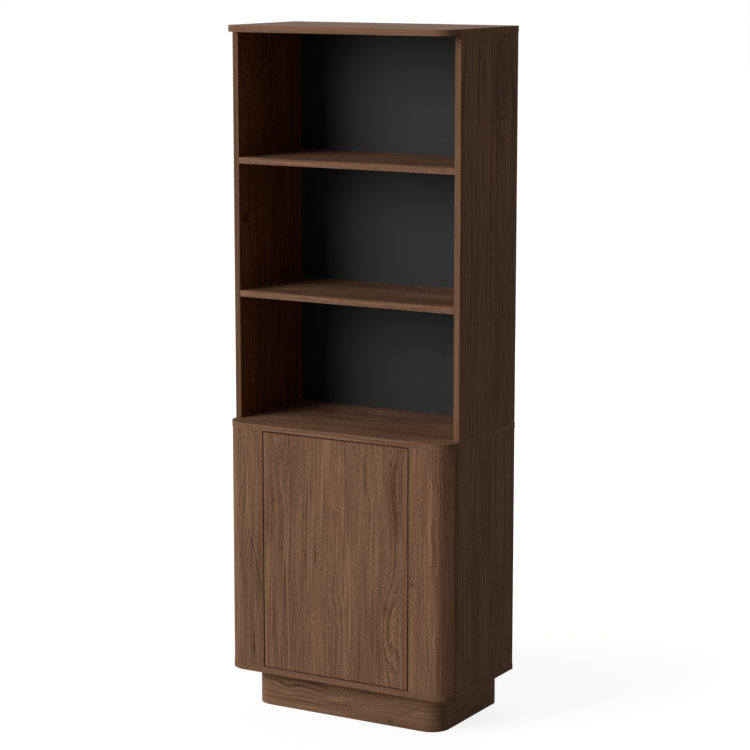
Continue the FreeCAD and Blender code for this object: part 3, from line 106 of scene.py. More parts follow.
@dataclass
class Graph:
    """Adds nodes to one tree and links them, so that a formula reads as a formula."""

    tree: Tree

    def feed(self, socket: Socket, value: Value | bpy.types.ID) -> None:
        """Link another node's output to a socket, or set the socket's own value.

        Args:
            socket: The input to feed.
            value: The output to link, or the value to set.
        """
        if isinstance(value, Socket):
            self.tree.links.new(value, socket)
        else:
            socket.default_value = value

    def add(self, kind: str, inputs: dict | None = None, **settings: object) -> Node:
        """Add a node.

        Args:
            kind: The node's type name.
            inputs: Values or sockets for its inputs, by name or by number.
            **settings: The node's own properties.

        Returns:
            The new node.
        """
        node = self.tree.nodes.new(kind)
        for name, setting in settings.items():
            setattr(node, name, setting)
        for key, value in (inputs or {}).items():
            self.feed(node.inputs[key], value)
        return node

    def math(self, operation: str, *values: Value) -> Socket:
        """The result of one arithmetic operation."""
        return self.add("ShaderNodeMath", dict(enumerate(values)), operation=operation).outputs[0]

    def plus(self, *values: Value) -> Value:
        """The sum of the values."""
        return reduce(lambda total, value: self.math("ADD", total, value), values)

    def times(self, *values: Value) -> Value:
        """The product of the values."""
        return reduce(lambda product, value: self.math("MULTIPLY", product, value), values)

    def minus(self, first: Value, second: Value) -> Socket:
        """The first value less the second."""
        return self.math("SUBTRACT", first, second)

    def over(self, first: Value, second: Value) -> Socket:
        """The first value divided by the second."""
        return self.math("DIVIDE", first, second)

    def swing(self, value: Value, *amounts: Value) -> Socket:
        """How far a field lies from its middle, 0.5, times the amounts."""
        return self.times(self.minus(value, 0.5), *amounts)

    def fall(self, value: Value, speed: float) -> Socket:
        """1 where the value is 0, falling away as it grows."""
        return self.math("EXPONENT", self.times(value, -speed))

    def around_one(self, value: Value, amount: Value) -> Socket:
        """A factor near 1 that follows a 0 to 1 value up and down by the amount."""
        return self.plus(self.swing(value, 2.0, amount), 1.0)

    def step(self, value: Value, low: Value, high: Value) -> Socket:
        """A soft step from 0 at the low value to 1 at the high one."""
        inputs = {0: value, 1: low, 2: high, 3: 0.0, 4: 1.0}
        return self.add("ShaderNodeMapRange", inputs, interpolation_type="SMOOTHSTEP").outputs[0]

    def blend(self, factor: Value, low: Value, high: Value, way: str = "MIX") -> Socket:
        """A colour between two colours, or the first changed by the second."""
        inputs = {0: factor, 6: low, 7: high}
        return self.add("ShaderNodeMix", inputs, data_type="RGBA", blend_type=way).outputs[2]

    def pick(self, factor: Value, low: Value, high: Value) -> Socket:
        """A number between two numbers."""
        return self.add("ShaderNodeMix", {0: factor, 2: low, 3: high}, data_type="FLOAT").outputs[0]

    def scaled(self, vector: Value, factor: Value) -> Socket:
        """A vector made longer, or a colour made lighter, by a factor."""
        inputs = {0: vector if isinstance(vector, Socket) else vector[:3], "Scale": factor}
        return self.add("ShaderNodeVectorMath", inputs, operation="SCALE").outputs[0]

    def vector(self, x: Value, y: Value, z: Value) -> Socket:
        """A vector from three numbers."""
        return self.add("ShaderNodeCombineXYZ", {0: x, 1: y, 2: z}).outputs[0]

    def split(self, vector: Value) -> tuple[Socket, Socket, Socket]:
        """The three numbers of a vector."""
        return tuple(self.add("ShaderNodeSeparateXYZ", {0: vector}).outputs)

    def noise(self, vector: Value, detail: float = 2.0, rough: float = 0.5) -> Node:
        """A noise texture at scale 1, because the vector is already scaled."""
        inputs = {"Vector": vector, "Scale": 1.0, "Detail": detail, "Roughness": rough}
        return self.add("ShaderNodeTexNoise", inputs)

    def drawn(self, place: Sequence[Value], cells: Sequence[float], starts: Sequence[Value],
              detail: float, rough: float = 0.5) -> Node:
        """A noise texture whose cells are drawn out along the grain.

        Args:
            place: The point along, across and into the wood.
            cells: Cells in a metre each way.
            starts: Where in the noise the wood lies.
            detail: Octaves added.
            rough: How strong they are.

        Returns:
            The noise node.
        """
        parts = (self.plus(self.times(way, count), start)
                 for way, count, start in zip(place, cells, starts))
        return self.noise(self.vector(*parts), detail, rough)

    def use(self, group: Tree, **inputs: Value) -> bpy.types.bpy_prop_collection:
        """Place a node group.

        Args:
            group: The group.
            **inputs: Values or sockets; an underscore in a name stands for a space.

        Returns:
            The group's outputs.
        """
        node = self.add("ShaderNodeGroup", node_tree=group)
        for name, value in inputs.items():
            self.feed(node.inputs[name.replace("_", " ")], value)
        return node.outputs


def empty_graph(owner: Material | bpy.types.World) -> Graph:
    """Clear the shader tree of a material or a world.

    Args:
        owner: The material or world.

    Returns:
        The graph to fill.
    """
    owner.use_nodes = True
    owner.node_tree.nodes.clear()
    return Graph(owner.node_tree)


def close_surface(g: Graph, inputs: dict[str, Value], height: Socket, relief: float,
                  deep: float = 0.0002) -> None:
    """End a material in a Principled shader with a bump.

    Args:
        g: The material's graph.
        inputs: The shader's inputs, by name.
        height: The height that the bump follows.
        relief: The bump's strength.
        deep: The bump's distance, in metres.
    """
    bump = g.add("ShaderNodeBump", {"Strength": relief, "Distance": deep, "Height": height})
    shader = g.add("ShaderNodeBsdfPrincipled", inputs | {"Normal": bump.outputs[0]})
    g.add("ShaderNodeOutputMaterial", {0: shader.outputs[0]})


def shader_group(
    name: str, inputs: dict[str, float | Sequence[float]], outputs: Sequence[str]
) -> tuple[Graph, dict[str, Socket], dict[str, Socket]]:
    """Start a shader node group with named sockets.

    Args:
        name: The group's name.
        inputs: Start values: a number, a vector of 3 or a colour of 4.
        outputs: Output names; one that ends in Color is a colour, the rest are numbers.

    Returns:
        The graph to fill, the group's inputs and the sockets that take its results.
    """
    tree = bpy.data.node_groups.new(name, "ShaderNodeTree")
    kinds = {1: "NodeSocketFloat", 3: "NodeSocketVector", 4: "NodeSocketColor"}
    for label, start in inputs.items():
        size = len(start) if isinstance(start, Sequence) else 1
        socket = tree.interface.new_socket(name=label, in_out="INPUT", socket_type=kinds[size])
        socket.default_value = start
    for label in outputs:
        kind = kinds[4] if label.endswith("Color") else kinds[1]
        tree.interface.new_socket(name=label, in_out="OUTPUT", socket_type=kind)
    taken = tree.nodes.new("NodeGroupInput").outputs
    given = tree.nodes.new("NodeGroupOutput").inputs
    return Graph(tree), {key: taken[key] for key in inputs}, {key: given[key] for key in outputs}


class Effects:
    """Shader node groups that several finishes share, each built once, at its first use.

    Lengths are in metres and noise is counted in cells of a metre; the rest are shares of a tone.
    """

    @cached_property
    def outline_walk(self) -> Tree:
        """The way along the rounded front outline from its middle, and the depth behind it."""
        inputs = {"Vector": (0.0, 0.0, 0.0), "Corner X": 0.275, "Corner Y": -0.126, "Radius": 0.049}
        g, taken, given = shader_group("outline_walk", inputs, ("Around", "Depth"))
        corner_x, corner_y, radius = (taken[key] for key in ("Corner X", "Corner Y", "Radius"))
        x, y, _ = g.split(taken["Vector"])
        across = g.math("ABSOLUTE", x)
        beyond = g.math("MAXIMUM", g.minus(across, corner_x), 0.0)
        ahead = g.math("MAXIMUM", g.minus(corner_y, y), 0.0)
        behind = g.math("MAXIMUM", g.minus(y, corner_y), 0.0)
        turn = g.times(g.math("ARCTAN2", beyond, ahead), radius)
        level = g.math("MINIMUM", across, corner_x)
        on_side = g.math("GREATER_THAN", beyond, 0.0)
        way = g.plus(level, turn, g.times(behind, on_side))
        g.feed(given["Around"], g.times(way, g.math("SIGN", x)))
        reach = g.math("SQRT", g.plus(g.times(beyond, beyond), g.times(ahead, ahead)))
        g.feed(given["Depth"], g.minus(radius, reach))
        return g.tree

    @cached_property
    def growth_rings(self) -> Tree:
        """Year rings about a wandering heart, as a saw cuts them, and the wood between them."""
        inputs = {name: 0.0 for name in ("Along", "Across", "Into", "Heart Across", "Shift", "Seed")}
        inputs |= {"Heart Depth": 0.05, "Drift": 0.05, "Pitch": 0.008, "Wander": 0.02}
        g, taken, given = shader_group("growth_rings", inputs, ("Ring", "Body", "Sway"))
        along, across, into, seed = (taken[key] for key in ("Along", "Across", "Into", "Seed"))
        lot = g.times(seed, 7.31)
        wood, starts = (along, across, into), (lot, lot, g.times(seed, 3.7))
        slow = g.split(g.drawn(wood, (2.2, 5.0, 5.0), starts, 1.0).outputs[1])
        sway = g.swing(slow[0], 2.0, taken["Wander"])
        heave = g.swing(slow[1], 3.0, taken["Wander"])
        side = g.plus(across, g.times(taken["Heart Across"], -1.0), sway)
        depth = g.plus(taken["Heart Depth"], g.times(taken["Drift"], along), heave, into)
        round_heart = g.math("SQRT", g.plus(g.times(side, side), g.times(depth, depth)))
        ripple = g.swing(g.drawn(wood, (9.0, 30.0, 30.0), starts, 3.0).outputs[0], 0.011)
        reach = g.plus(round_heart, ripple, taken["Shift"])
        phase = g.over(reach, taken["Pitch"])
        year = g.math("FRACT", phase)
        count = g.plus(g.math("FLOOR", phase), lot)
        luck = g.add("ShaderNodeTexWhiteNoise", {"W": count}, noise_dimensions="1D").outputs[0]
        late = g.times(g.step(year, 0.45, 0.9), g.minus(1.0, g.step(year, 0.88, 1.0)))
        g.feed(given["Ring"], g.times(late, g.plus(g.times(luck, 0.8), 0.2)))
        bands = g.vector(g.times(reach, 62.0), g.times(along, 2.2), lot)
        g.feed(given["Body"], g.noise(bands, 3.0, 0.6).outputs[0])
        g.feed(given["Sway"], sway)
        return g.tree

    @cached_property
    def wood_fibre(self) -> Tree:
        """Streaks, fine lines, specks and pores along a grain that may run wavy."""
        inputs = {name: 0.0 for name in ("Along", "Across", "Into", "Seed", "Curly")}
        outputs = ("Patch", "Streak", "Line", "Hair", "Thread", "Speck", "Curl", "Pore", "Hue")
        g, taken, given = shader_group("wood_fibre", inputs, outputs)
        along, across, into, seed = (taken[key] for key in ("Along", "Across", "Into", "Seed"))

        def field(stretch: float, fine: float, detail: float, lot: float, wide: Value) -> Socket:
            """Noise about 0.5, from its cells, octaves, start and place across the grain."""
            luck = g.plus(g.times(seed, 5.17), lot)
            return g.drawn((along, wide, into), (stretch, fine, fine), (luck, luck, lot), detail,
                           0.6).outputs[0]

        wave = g.minus(field(42.0, 18.0, 1.0, 41.3, across), 0.5)
        wavy = g.plus(across, g.times(wave, taken["Curly"], 0.006))
        lined = g.step(field(3.0, 15.0, 1.0, 27.7, across), 0.36, 0.64)
        straight = {"Patch": (1.5, 13.0, 1.0, 1.9), "Hue": (1.6, 9.0, 2.0, 33.1),
                    "Streak": (1.1, 42.0, 2.0, 11.3), "Curl": (150.0, 50.0, 1.0, 7.7)}
        for name, sizes in straight.items():
            g.feed(given[name], field(*sizes, across))
        parted = {"Line": (1.7, 150.0, 17.7, 0.7, 0.65), "Hair": (3.0, 320.0, 23.9, 0.8, 0.6),
                  "Speck": (230.0, 330.0, 5.1, -0.5, 1.2)}
        for name, (stretch, fine, lot, with_lines, always) in parted.items():
            strength = g.plus(g.times(lined, with_lines), always)
            g.feed(given[name], g.plus(g.swing(field(stretch, fine, 1.0, lot, wavy), strength), 0.5))
        g.feed(given["Thread"], field(12.0, 1150.0, 1.0, 51.7, wavy))
        g.feed(given["Pore"], g.step(field(95.0, 1500.0, 1.0, 2.3, across), 0.6, 0.74))
        return g.tree

    @cached_property
    def grain_lens(self) -> Tree:
        """How far a point lies from the middle of a lens in the grain, squared: 1 at its rim."""
        inputs = {name: 0.0 for name in ("Along", "Across", "Middle Along", "Middle Across", "Lean")}
        inputs |= {"Half Length": 0.05, "Half Width": 0.01}
        g, taken, given = shader_group("grain_lens", inputs, ("Square",))
        along = g.minus(taken["Along"], taken["Middle Along"])
        upright = g.minus(taken["Across"], taken["Middle Across"])
        across = g.minus(upright, g.times(along, taken["Lean"]))
        far = g.over(along, taken["Half Length"])
        wide = g.over(across, taken["Half Width"])
        g.feed(given["Square"], g.plus(g.times(far, far), g.times(wide, wide)))
        return g.tree

    @cached_property
    def walnut_stain(self) -> Tree:
        """The colour, gloss and relief of a stained and matt-lacquered wood figure."""
        broad = {"Patch": 0.42, "Streak": 0.36, "Body": 0.26}
        fine = {"Hair": 1.15, "Speck": 0.9, "Thread": 0.7}
        inputs = {name: 0.5 for name in (*broad, *fine, "Hue", "Line", "Curl")}
        plain = ("Ring", "Pore", "Knot", "Mark", "Blush", "Glow", "Curly", "Red")
        inputs |= {name: 0.0 for name in plain}
        inputs |= {name: 1.0 for name in ("Figure", "Contrast", "Lines", "Shade")}
        g, taken, given = shader_group("walnut_stain", inputs, ("Color", "Roughness", "Height"))
        figure, ring = taken["Figure"], taken["Ring"]
        tone = g.plus(
            0.035,
            *(g.swing(taken[name], g.times(figure, weight)) for name, weight in broad.items()),
            *(g.swing(taken[name], weight) for name, weight in fine.items()),
            g.swing(taken["Line"], g.times(taken["Lines"], 0.36)),
            g.swing(taken["Curl"], g.times(taken["Curly"], 0.06)),
            g.times(ring, g.plus(g.times(figure, 0.08), g.times(taken["Glow"], 0.26)), -1.0),
            g.times(taken["Pore"], -0.22),
        )
        toned = g.plus(g.times(tone, taken["Contrast"]), taken["Mark"], 0.5)
        ramp = g.add("ShaderNodeValToRGB", {0: toned})
        tints = (screen(76, 53, 39), screen(94, 68, 51), screen(111, 82, 62), screen(128, 97, 75),
                 screen(144, 112, 88))
        while len(ramp.color_ramp.elements) < len(tints):
            ramp.color_ramp.elements.new(0.5)
        for place, (element, tint) in enumerate(zip(ramp.color_ramp.elements, tints)):
            element.position = place / (len(tints) - 1)
            element.color = tint
        stained = ramp.outputs[0]
        patchy = g.plus(g.times(g.step(taken["Hue"], 0.4, 0.64), 0.35), taken["Blush"])
        russet = g.blend(1.0, stained, (0.98, 0.9, 0.93, 1.0), "MULTIPLY")
        warmed = g.blend(g.math("MINIMUM", patchy, 1.0), stained, russet)
        # Red is the stain's own warmth plus the painted red shade of faces towards the bays
        red = g.blend(1.0, warmed, (1.28, 0.9, 0.6, 1.0), "MULTIPLY")
        reddened = g.blend(taken["Red"], warmed, red)
        knot = g.minus(1.0, g.times(taken["Knot"], 0.62))
        g.feed(given["Color"], g.scaled(reddened, g.times(knot, taken["Shade"])))
        g.feed(given["Roughness"], g.plus(0.48, g.times(ring, 0.06), g.times(taken["Hair"], 0.12)))
        g.feed(given["Height"], g.plus(g.times(taken["Hair"], 0.4), g.times(taken["Pore"], -0.9)))
        return g.tree

    @cached_property
    def chip_core(self) -> Tree:
        """The raw edge of a chip board: flat chips with dust between them."""
        inputs = {"Vector": (0.0, 0.0, 0.0), "Chip": 480.0}
        g, taken, given = shader_group("chip_core", inputs, ("Color", "Height"))
        chips = g.add("ShaderNodeTexVoronoi", {"Vector": taken["Vector"], "Scale": taken["Chip"]})
        luck = g.split(chips.outputs["Color"])[0]
        dust = g.noise(g.scaled(taken["Vector"], 1900.0), 3.0, 0.7).outputs[0]
        pale = g.blend(luck, screen(150, 118, 84), screen(196, 166, 126))
        g.feed(given["Color"], g.scaled(pale, g.around_one(dust, 0.3)))
        g.feed(given["Height"], g.plus(luck, g.times(dust, 0.5)))
        return g.tree

    @cached_property
    def fine_marks(self) -> Tree:
        """Fine rubbing marks and a soft mottle, for metal, plastic and lacquered sheet."""
        inputs = {"Vector": (0.0, 0.0, 0.0), "Scale": 900.0, "Stretch": 6.0}
        g, taken, given = shader_group("fine_marks", inputs, ("Marks", "Mottle"))
        x, y, z = g.split(taken["Vector"])
        fine = taken["Scale"]
        slow = g.over(fine, taken["Stretch"])
        rubbed = g.vector(g.times(x, fine), g.times(y, slow), g.times(z, fine))
        g.feed(given["Marks"], g.noise(rubbed, 3.0, 0.6).outputs[0])
        soft = g.scaled(taken["Vector"], g.over(fine, 14.0))
        g.feed(given["Mottle"], g.noise(soft).outputs[0])
        return g.tree


@dataclass(frozen=True)
class Finish(ABC):
    """The surface of a piece; each kind of finish fills its own material."""

    name: str

    def material(self, effects: Effects) -> Material:
        """Build the material.

        Args:
            effects: The shared node groups.

        Returns:
            The finished material.
        """
        made = bpy.data.materials.new(self.name)
        self.fill(empty_graph(made), effects)
        return made

    @abstractmethod
    def fill(self, g: Graph, effects: Effects) -> None:
        """Build the material's nodes."""


class Lay(Enum):
    """How a piece's veneer lies: where its grain runs and which faces it covers."""

    LYING = "lying board"
    UPRIGHT = "upright panel, edge to the front"
    LEAF = "upright leaf along the front"
    WRAPPED_UPRIGHT = "upright grain round a corner"
    WRAPPED_LYING = "level grain round a corner"


@dataclass(frozen=True)
class Lens:
    """A soft lens in the grain, in millimetres along and across it."""

    along: float
    across: float
    half_length: float
    half_width: float
    strength: float
    lean: float = 0.0

    def square(self, g: Graph, effects: Effects, along: Value, across: Value) -> Socket:
        """How far a point lies from the lens's middle, squared: 1 at its rim."""
        return g.use(effects.grain_lens, Along=along, Across=across, Middle_Along=self.along * MM,
                     Middle_Across=self.across * MM, Half_Length=self.half_length * MM,
                     Half_Width=self.half_width * MM, Lean=self.lean)["Square"]


@dataclass(frozen=True)
class Eye(Lens):
    """Loops of grain; its strength lifts the rings, and near its middle it may be dark."""

    core: float = 0.2
    dark: float = 0.0
    show: float = 0.0


@dataclass(frozen=True)
class Mark(Lens):
    """A darker or lighter lens; its strength is the change of tone."""

    blush: float = 0.0


@dataclass(frozen=True)
class Veneer(Finish):
    """The walnut face of one piece: its lay, the cut through the trunk, its eyes and marks.

    The heart of the trunk lies so far across the grain and behind the face. It drifts along the
    grain, and the years about it are a pitch wide, all in millimetres. Each row of eyes or marks
    holds the fields of one Eye or Mark, in order.
    """

    lay: Lay
    heart: tuple[float, float]
    drift: float
    pitch: float
    seed: float
    wander: float = 14.0
    shade: float = 1.0
    figure: float = 1.0
    curly: float = 0.0
    contrast: float = 1.0
    lines: float = 1.0
    # Painted red shade from bounced light on the face towards the bays; the sign says which way they lie
    inner: float = 0.0
    warm: float = 0.0
    raw_back: bool = True
    plinth: bool = False
    eyes: Rows = ()
    marks: Rows = ()
    # Planes, by axis and level in millimetres, whose faces get painted shade where they sit in the
    # door's gaps
    gap_shade_planes: tuple[tuple[str, float], ...] = ()

    def fill(self, g: Graph, effects: Effects) -> None:
        """Lay the wood on."""
        VeneerFace(self, g, effects).close()


class VeneerFace:
    """The nodes of one veneer: where a point lies in the wood, and how it looks there."""

    def __init__(self, cut: Veneer, g: Graph, effects: Effects) -> None:
        """Find where a point lies in the wood.

        Args:
            cut: The veneer.
            g: The material's graph.
            effects: The shared node groups.
        """
        self.cut, self.g, self.effects = cut, g, effects
        where = g.add("ShaderNodeTexCoord").outputs
        self.place, self.facing = where["Object"], g.split(where["Normal"])
        corner = (part * MM for part in (PLINTH_CORNER if cut.plinth else WALL_CORNER))
        walk = g.use(effects.outline_walk, Vector=self.place,
                     **dict(zip(("Corner_X", "Corner_Y", "Radius"), corner)))
        around, depth = walk["Around"], walk["Depth"]
        x, y, z = g.split(self.place)
        broad, narrow, axis = {
            Lay.LYING: ((x, y, z), (around, z, depth), 2),
            Lay.UPRIGHT: ((z, y, x), (z, x, y), 0),
            Lay.LEAF: ((z, x, y), (z, y, x), 1),
            Lay.WRAPPED_UPRIGHT: ((z, around, depth), (), None),
            Lay.WRAPPED_LYING: ((around, z, depth), (), None),
        }[cut.lay]
        self.grain, self.seed, self.contrast = broad, cut.seed, cut.contrast
        if narrow:
            edge = g.math("LESS_THAN", g.math("ABSOLUTE", self.facing[axis]), EDGE_FACING)
            self.grain = tuple(g.pick(edge, *pair) for pair in zip(broad, narrow))
            self.seed = g.plus(g.times(edge, EDGE_SEED), cut.seed)
            self.contrast = g.plus(g.times(edge, EDGE_CONTRAST * cut.contrast), cut.contrast)

    def loops(self) -> tuple[Value, Value, Value]:
        """Bend the grain about the eyes.

        Returns:
            How far the rings are lifted, how dark a knot is and how strong the rings show.
        """
        g = self.g
        shift, knot, glow = [0.0], [0.0], [0.0]
        for eye in (Eye(*row) for row in self.cut.eyes):
            square = eye.square(g, self.effects, *self.grain[:2])
            shift.append(g.times(g.fall(square, 1.0), eye.strength * MM))
            if eye.dark > 0:
                knot.append(g.times(g.fall(square, 1.0 / eye.core**2), eye.dark))
            if eye.show > 0:
                glow.append(g.times(g.fall(square, 0.45), eye.show))
        return g.plus(*shift), g.plus(*knot), g.plus(*glow)

    def bands(self) -> tuple[Value, Value]:
        """Lay the marks and the painted shade on the edge faces in the door's gaps.

        Returns:
            The change of tone and the russet blush.
        """
        g, (along, across, _) = self.g, self.grain
        waves = g.vector(g.times(along, WOBBLE_ALONG), g.times(across, WOBBLE_ACROSS), self.cut.seed)
        wobbled = g.plus(across, g.swing(g.noise(waves).outputs[0], WOBBLE_REACH))
        tone, blush = [0.0], [0.0]
        for mark in (Mark(*row) for row in self.cut.marks):
            square = mark.square(g, self.effects, along, wobbled)
            cover = g.fall(g.times(square, square), 0.7)
            tone.append(g.times(cover, mark.strength))
            if mark.blush > 0:
                blush.append(g.times(cover, mark.blush))
        # Painted shade on the faces that lie on each listed plane, deepening the door's gaps
        for axis, level in self.cut.gap_shade_planes:
            off = g.math("ABSOLUTE", g.minus(g.split(self.place)["xyz".index(axis)], level * MM))
            tone.append(g.times(g.math("LESS_THAN", off, GAP_SHADE_WIDTH * MM), GAP_SHADE_TONE))
        return g.plus(*tone), g.plus(*blush)

    def red(self) -> Value:
        """The stain's warmth, plus painted red bounce shade on the face towards the bays.

        Returns:
            The share of red.
        """
        g, cut = self.g, self.cut
        if not cut.inner:
            return cut.warm
        inward = g.times(self.facing[0], math.copysign(1.0, cut.inner))
        return g.plus(cut.warm, g.times(g.math("GREATER_THAN", inward, BAY_FACING), abs(cut.inner)))

    def close(self) -> None:
        """Grow the figure, stain it, leave the back raw and end the material."""
        g, cut, (along, across, into) = self.g, self.cut, self.grain
        shift, knot, glow = self.loops()
        tone, blush = self.bands()
        rings = g.use(self.effects.growth_rings, Along=along, Across=across, Into=into,
                      Heart_Across=cut.heart[0] * MM, Heart_Depth=cut.heart[1] * MM,
                      Drift=cut.drift, Pitch=cut.pitch * MM, Wander=cut.wander * MM, Shift=shift,
                      Seed=self.seed)
        bent = g.plus(across, rings["Sway"], g.times(shift, 0.7))
        fibre = g.use(self.effects.wood_fibre, Along=along, Across=bent, Into=into, Seed=self.seed,
                      Curly=cut.curly)
        stained = g.use(self.effects.walnut_stain, Ring=rings["Ring"], Body=rings["Body"],
                        **dict(fibre.items()), Knot=knot, Mark=tone, Blush=blush, Glow=glow,
                        Figure=cut.figure, Curly=cut.curly, Contrast=self.contrast, Lines=cut.lines,
                        Red=self.red(), Shade=cut.shade)
        colour, height = stained["Color"], stained["Height"]
        if cut.raw_back:
            core = g.use(self.effects.chip_core, Vector=self.place)
            bare = g.math("GREATER_THAN", self.facing[1], RAW_FACING)
            if cut.lay is Lay.WRAPPED_LYING:
                bare = g.math("MAXIMUM", bare, g.math("LESS_THAN", self.facing[2], -RAW_FACING))
            colour = g.blend(bare, colour, core["Color"])
            height = g.pick(bare, height, core["Height"])
        inputs = {"Base Color": colour, "Roughness": stained["Roughness"], "Specular IOR Level": 0.025}
        close_surface(g, inputs, height, relief=0.25)


@dataclass(frozen=True)
class BlackSheet(Finish):
    """Thin fibre sheet, black lacquered towards the bays and bare towards the wall."""

    black: Colour = screen(40, 40, 40)
    bare: Colour = screen(122, 88, 58)

    def fill(self, g: Graph, effects: Effects) -> None:
        """Lacquer the front and press the fibres of the back.

        Args:
            g: The material's graph.
            effects: The shared node groups.
        """
        where = g.add("ShaderNodeTexCoord").outputs
        peel, fluff, cloud = (
            g.use(effects.fine_marks, Vector=where["Object"], Scale=scale, Stretch=stretch)
            for scale, stretch in ((420.0, 1.0), (1500.0, 2.0), (70.0, 3.0))
        )
        rear = g.math("GREATER_THAN", g.split(where["Normal"])[1], 0.5)
        pressed = g.times(g.around_one(cloud["Mottle"], 0.3), g.around_one(cloud["Marks"], 0.12))
        brown = g.scaled(self.bare, g.times(g.around_one(fluff["Marks"], 0.35),
                                            g.around_one(fluff["Mottle"], 0.2), pressed))
        black = g.scaled(self.black, g.around_one(peel["Mottle"], 0.15))
        rough = g.pick(rear, g.plus(0.5, g.times(peel["Mottle"], 0.06)), 0.8)
        height = g.pick(rear, g.times(peel["Marks"], 0.4), fluff["Marks"])
        colour = g.blend(rear, black, brown)
        close_surface(g, {"Base Color": colour, "Roughness": rough, "Specular IOR Level": 0.08},
                      height, relief=0.12)


@dataclass(frozen=True)
class Fitting(Finish):
    """The surface of a fitting: plated or cast metal, moulded plastic or bare wood."""

    colour: Colour
    dark: Colour
    metallic: float
    roughness: float
    scale: float = 900.0
    stretch: float = 5.0
    relief: float = 0.2

    def fill(self, g: Graph, effects: Effects) -> None:
        """Give the surface its wear and fine marks.

        Args:
            g: The material's graph.
            effects: The shared node groups.
        """
        where = g.add("ShaderNodeTexCoord").outputs["Object"]
        marked = g.use(effects.fine_marks, Vector=where, Scale=self.scale, Stretch=self.stretch)
        worn = g.times(g.step(marked["Mottle"], 0.35, 0.8), 0.7)
        colour = g.blend(worn, self.colour, self.dark)
        close_surface(g, {
            "Base Color": g.scaled(colour, g.around_one(marked["Marks"], 0.12)),
            "Metallic": self.metallic,
            "Roughness": g.plus(self.roughness, g.swing(marked["Marks"], 0.25)),
        }, marked["Marks"], self.relief, deep=0.0001)


ZINC_PLATE = Fitting("zinc_plate", screen(196, 196, 190), screen(150, 150, 146), 1.0, 0.34)
NICKEL_PLATE = Fitting("nickel_plate", screen(206, 203, 196), screen(160, 157, 150), 1.0, 0.24)
ZINC_CASTING = Fitting("zinc_casting", screen(150, 152, 154), screen(110, 112, 114), 1.0, 0.5,
                       700.0, 1.0, 0.5)
SPRING_STEEL = Fitting("spring_steel", screen(150, 150, 152), screen(90, 90, 92), 1.0, 0.3)
MAGNET = Fitting("sintered_magnet", screen(128, 128, 130), screen(84, 84, 86), 1.0, 0.42)
GREY_PLASTIC = Fitting("grey_plastic", screen(118, 118, 117), screen(98, 98, 97), 0.0, 0.5,
                       600.0, 1.0, 0.3)
BEECH = Fitting("beech_dowel", screen(206, 172, 128), screen(178, 140, 98), 0.0, 0.7, 800.0, 9.0, 0.5)
PINE = Fitting("pine_block", screen(206, 168, 116), screen(170, 126, 78), 0.0, 0.75, 420.0, 12.0, 0.6)


def paint(material: Material, *nodes: str) -> None:
    """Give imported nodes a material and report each.

    Args:
        material: The finish.
        *nodes: The nodes' names.
    """
    for name in nodes:
        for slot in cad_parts[name].material_slots:
            slot.material = material
        log.info("%s: %s", name, material.name)


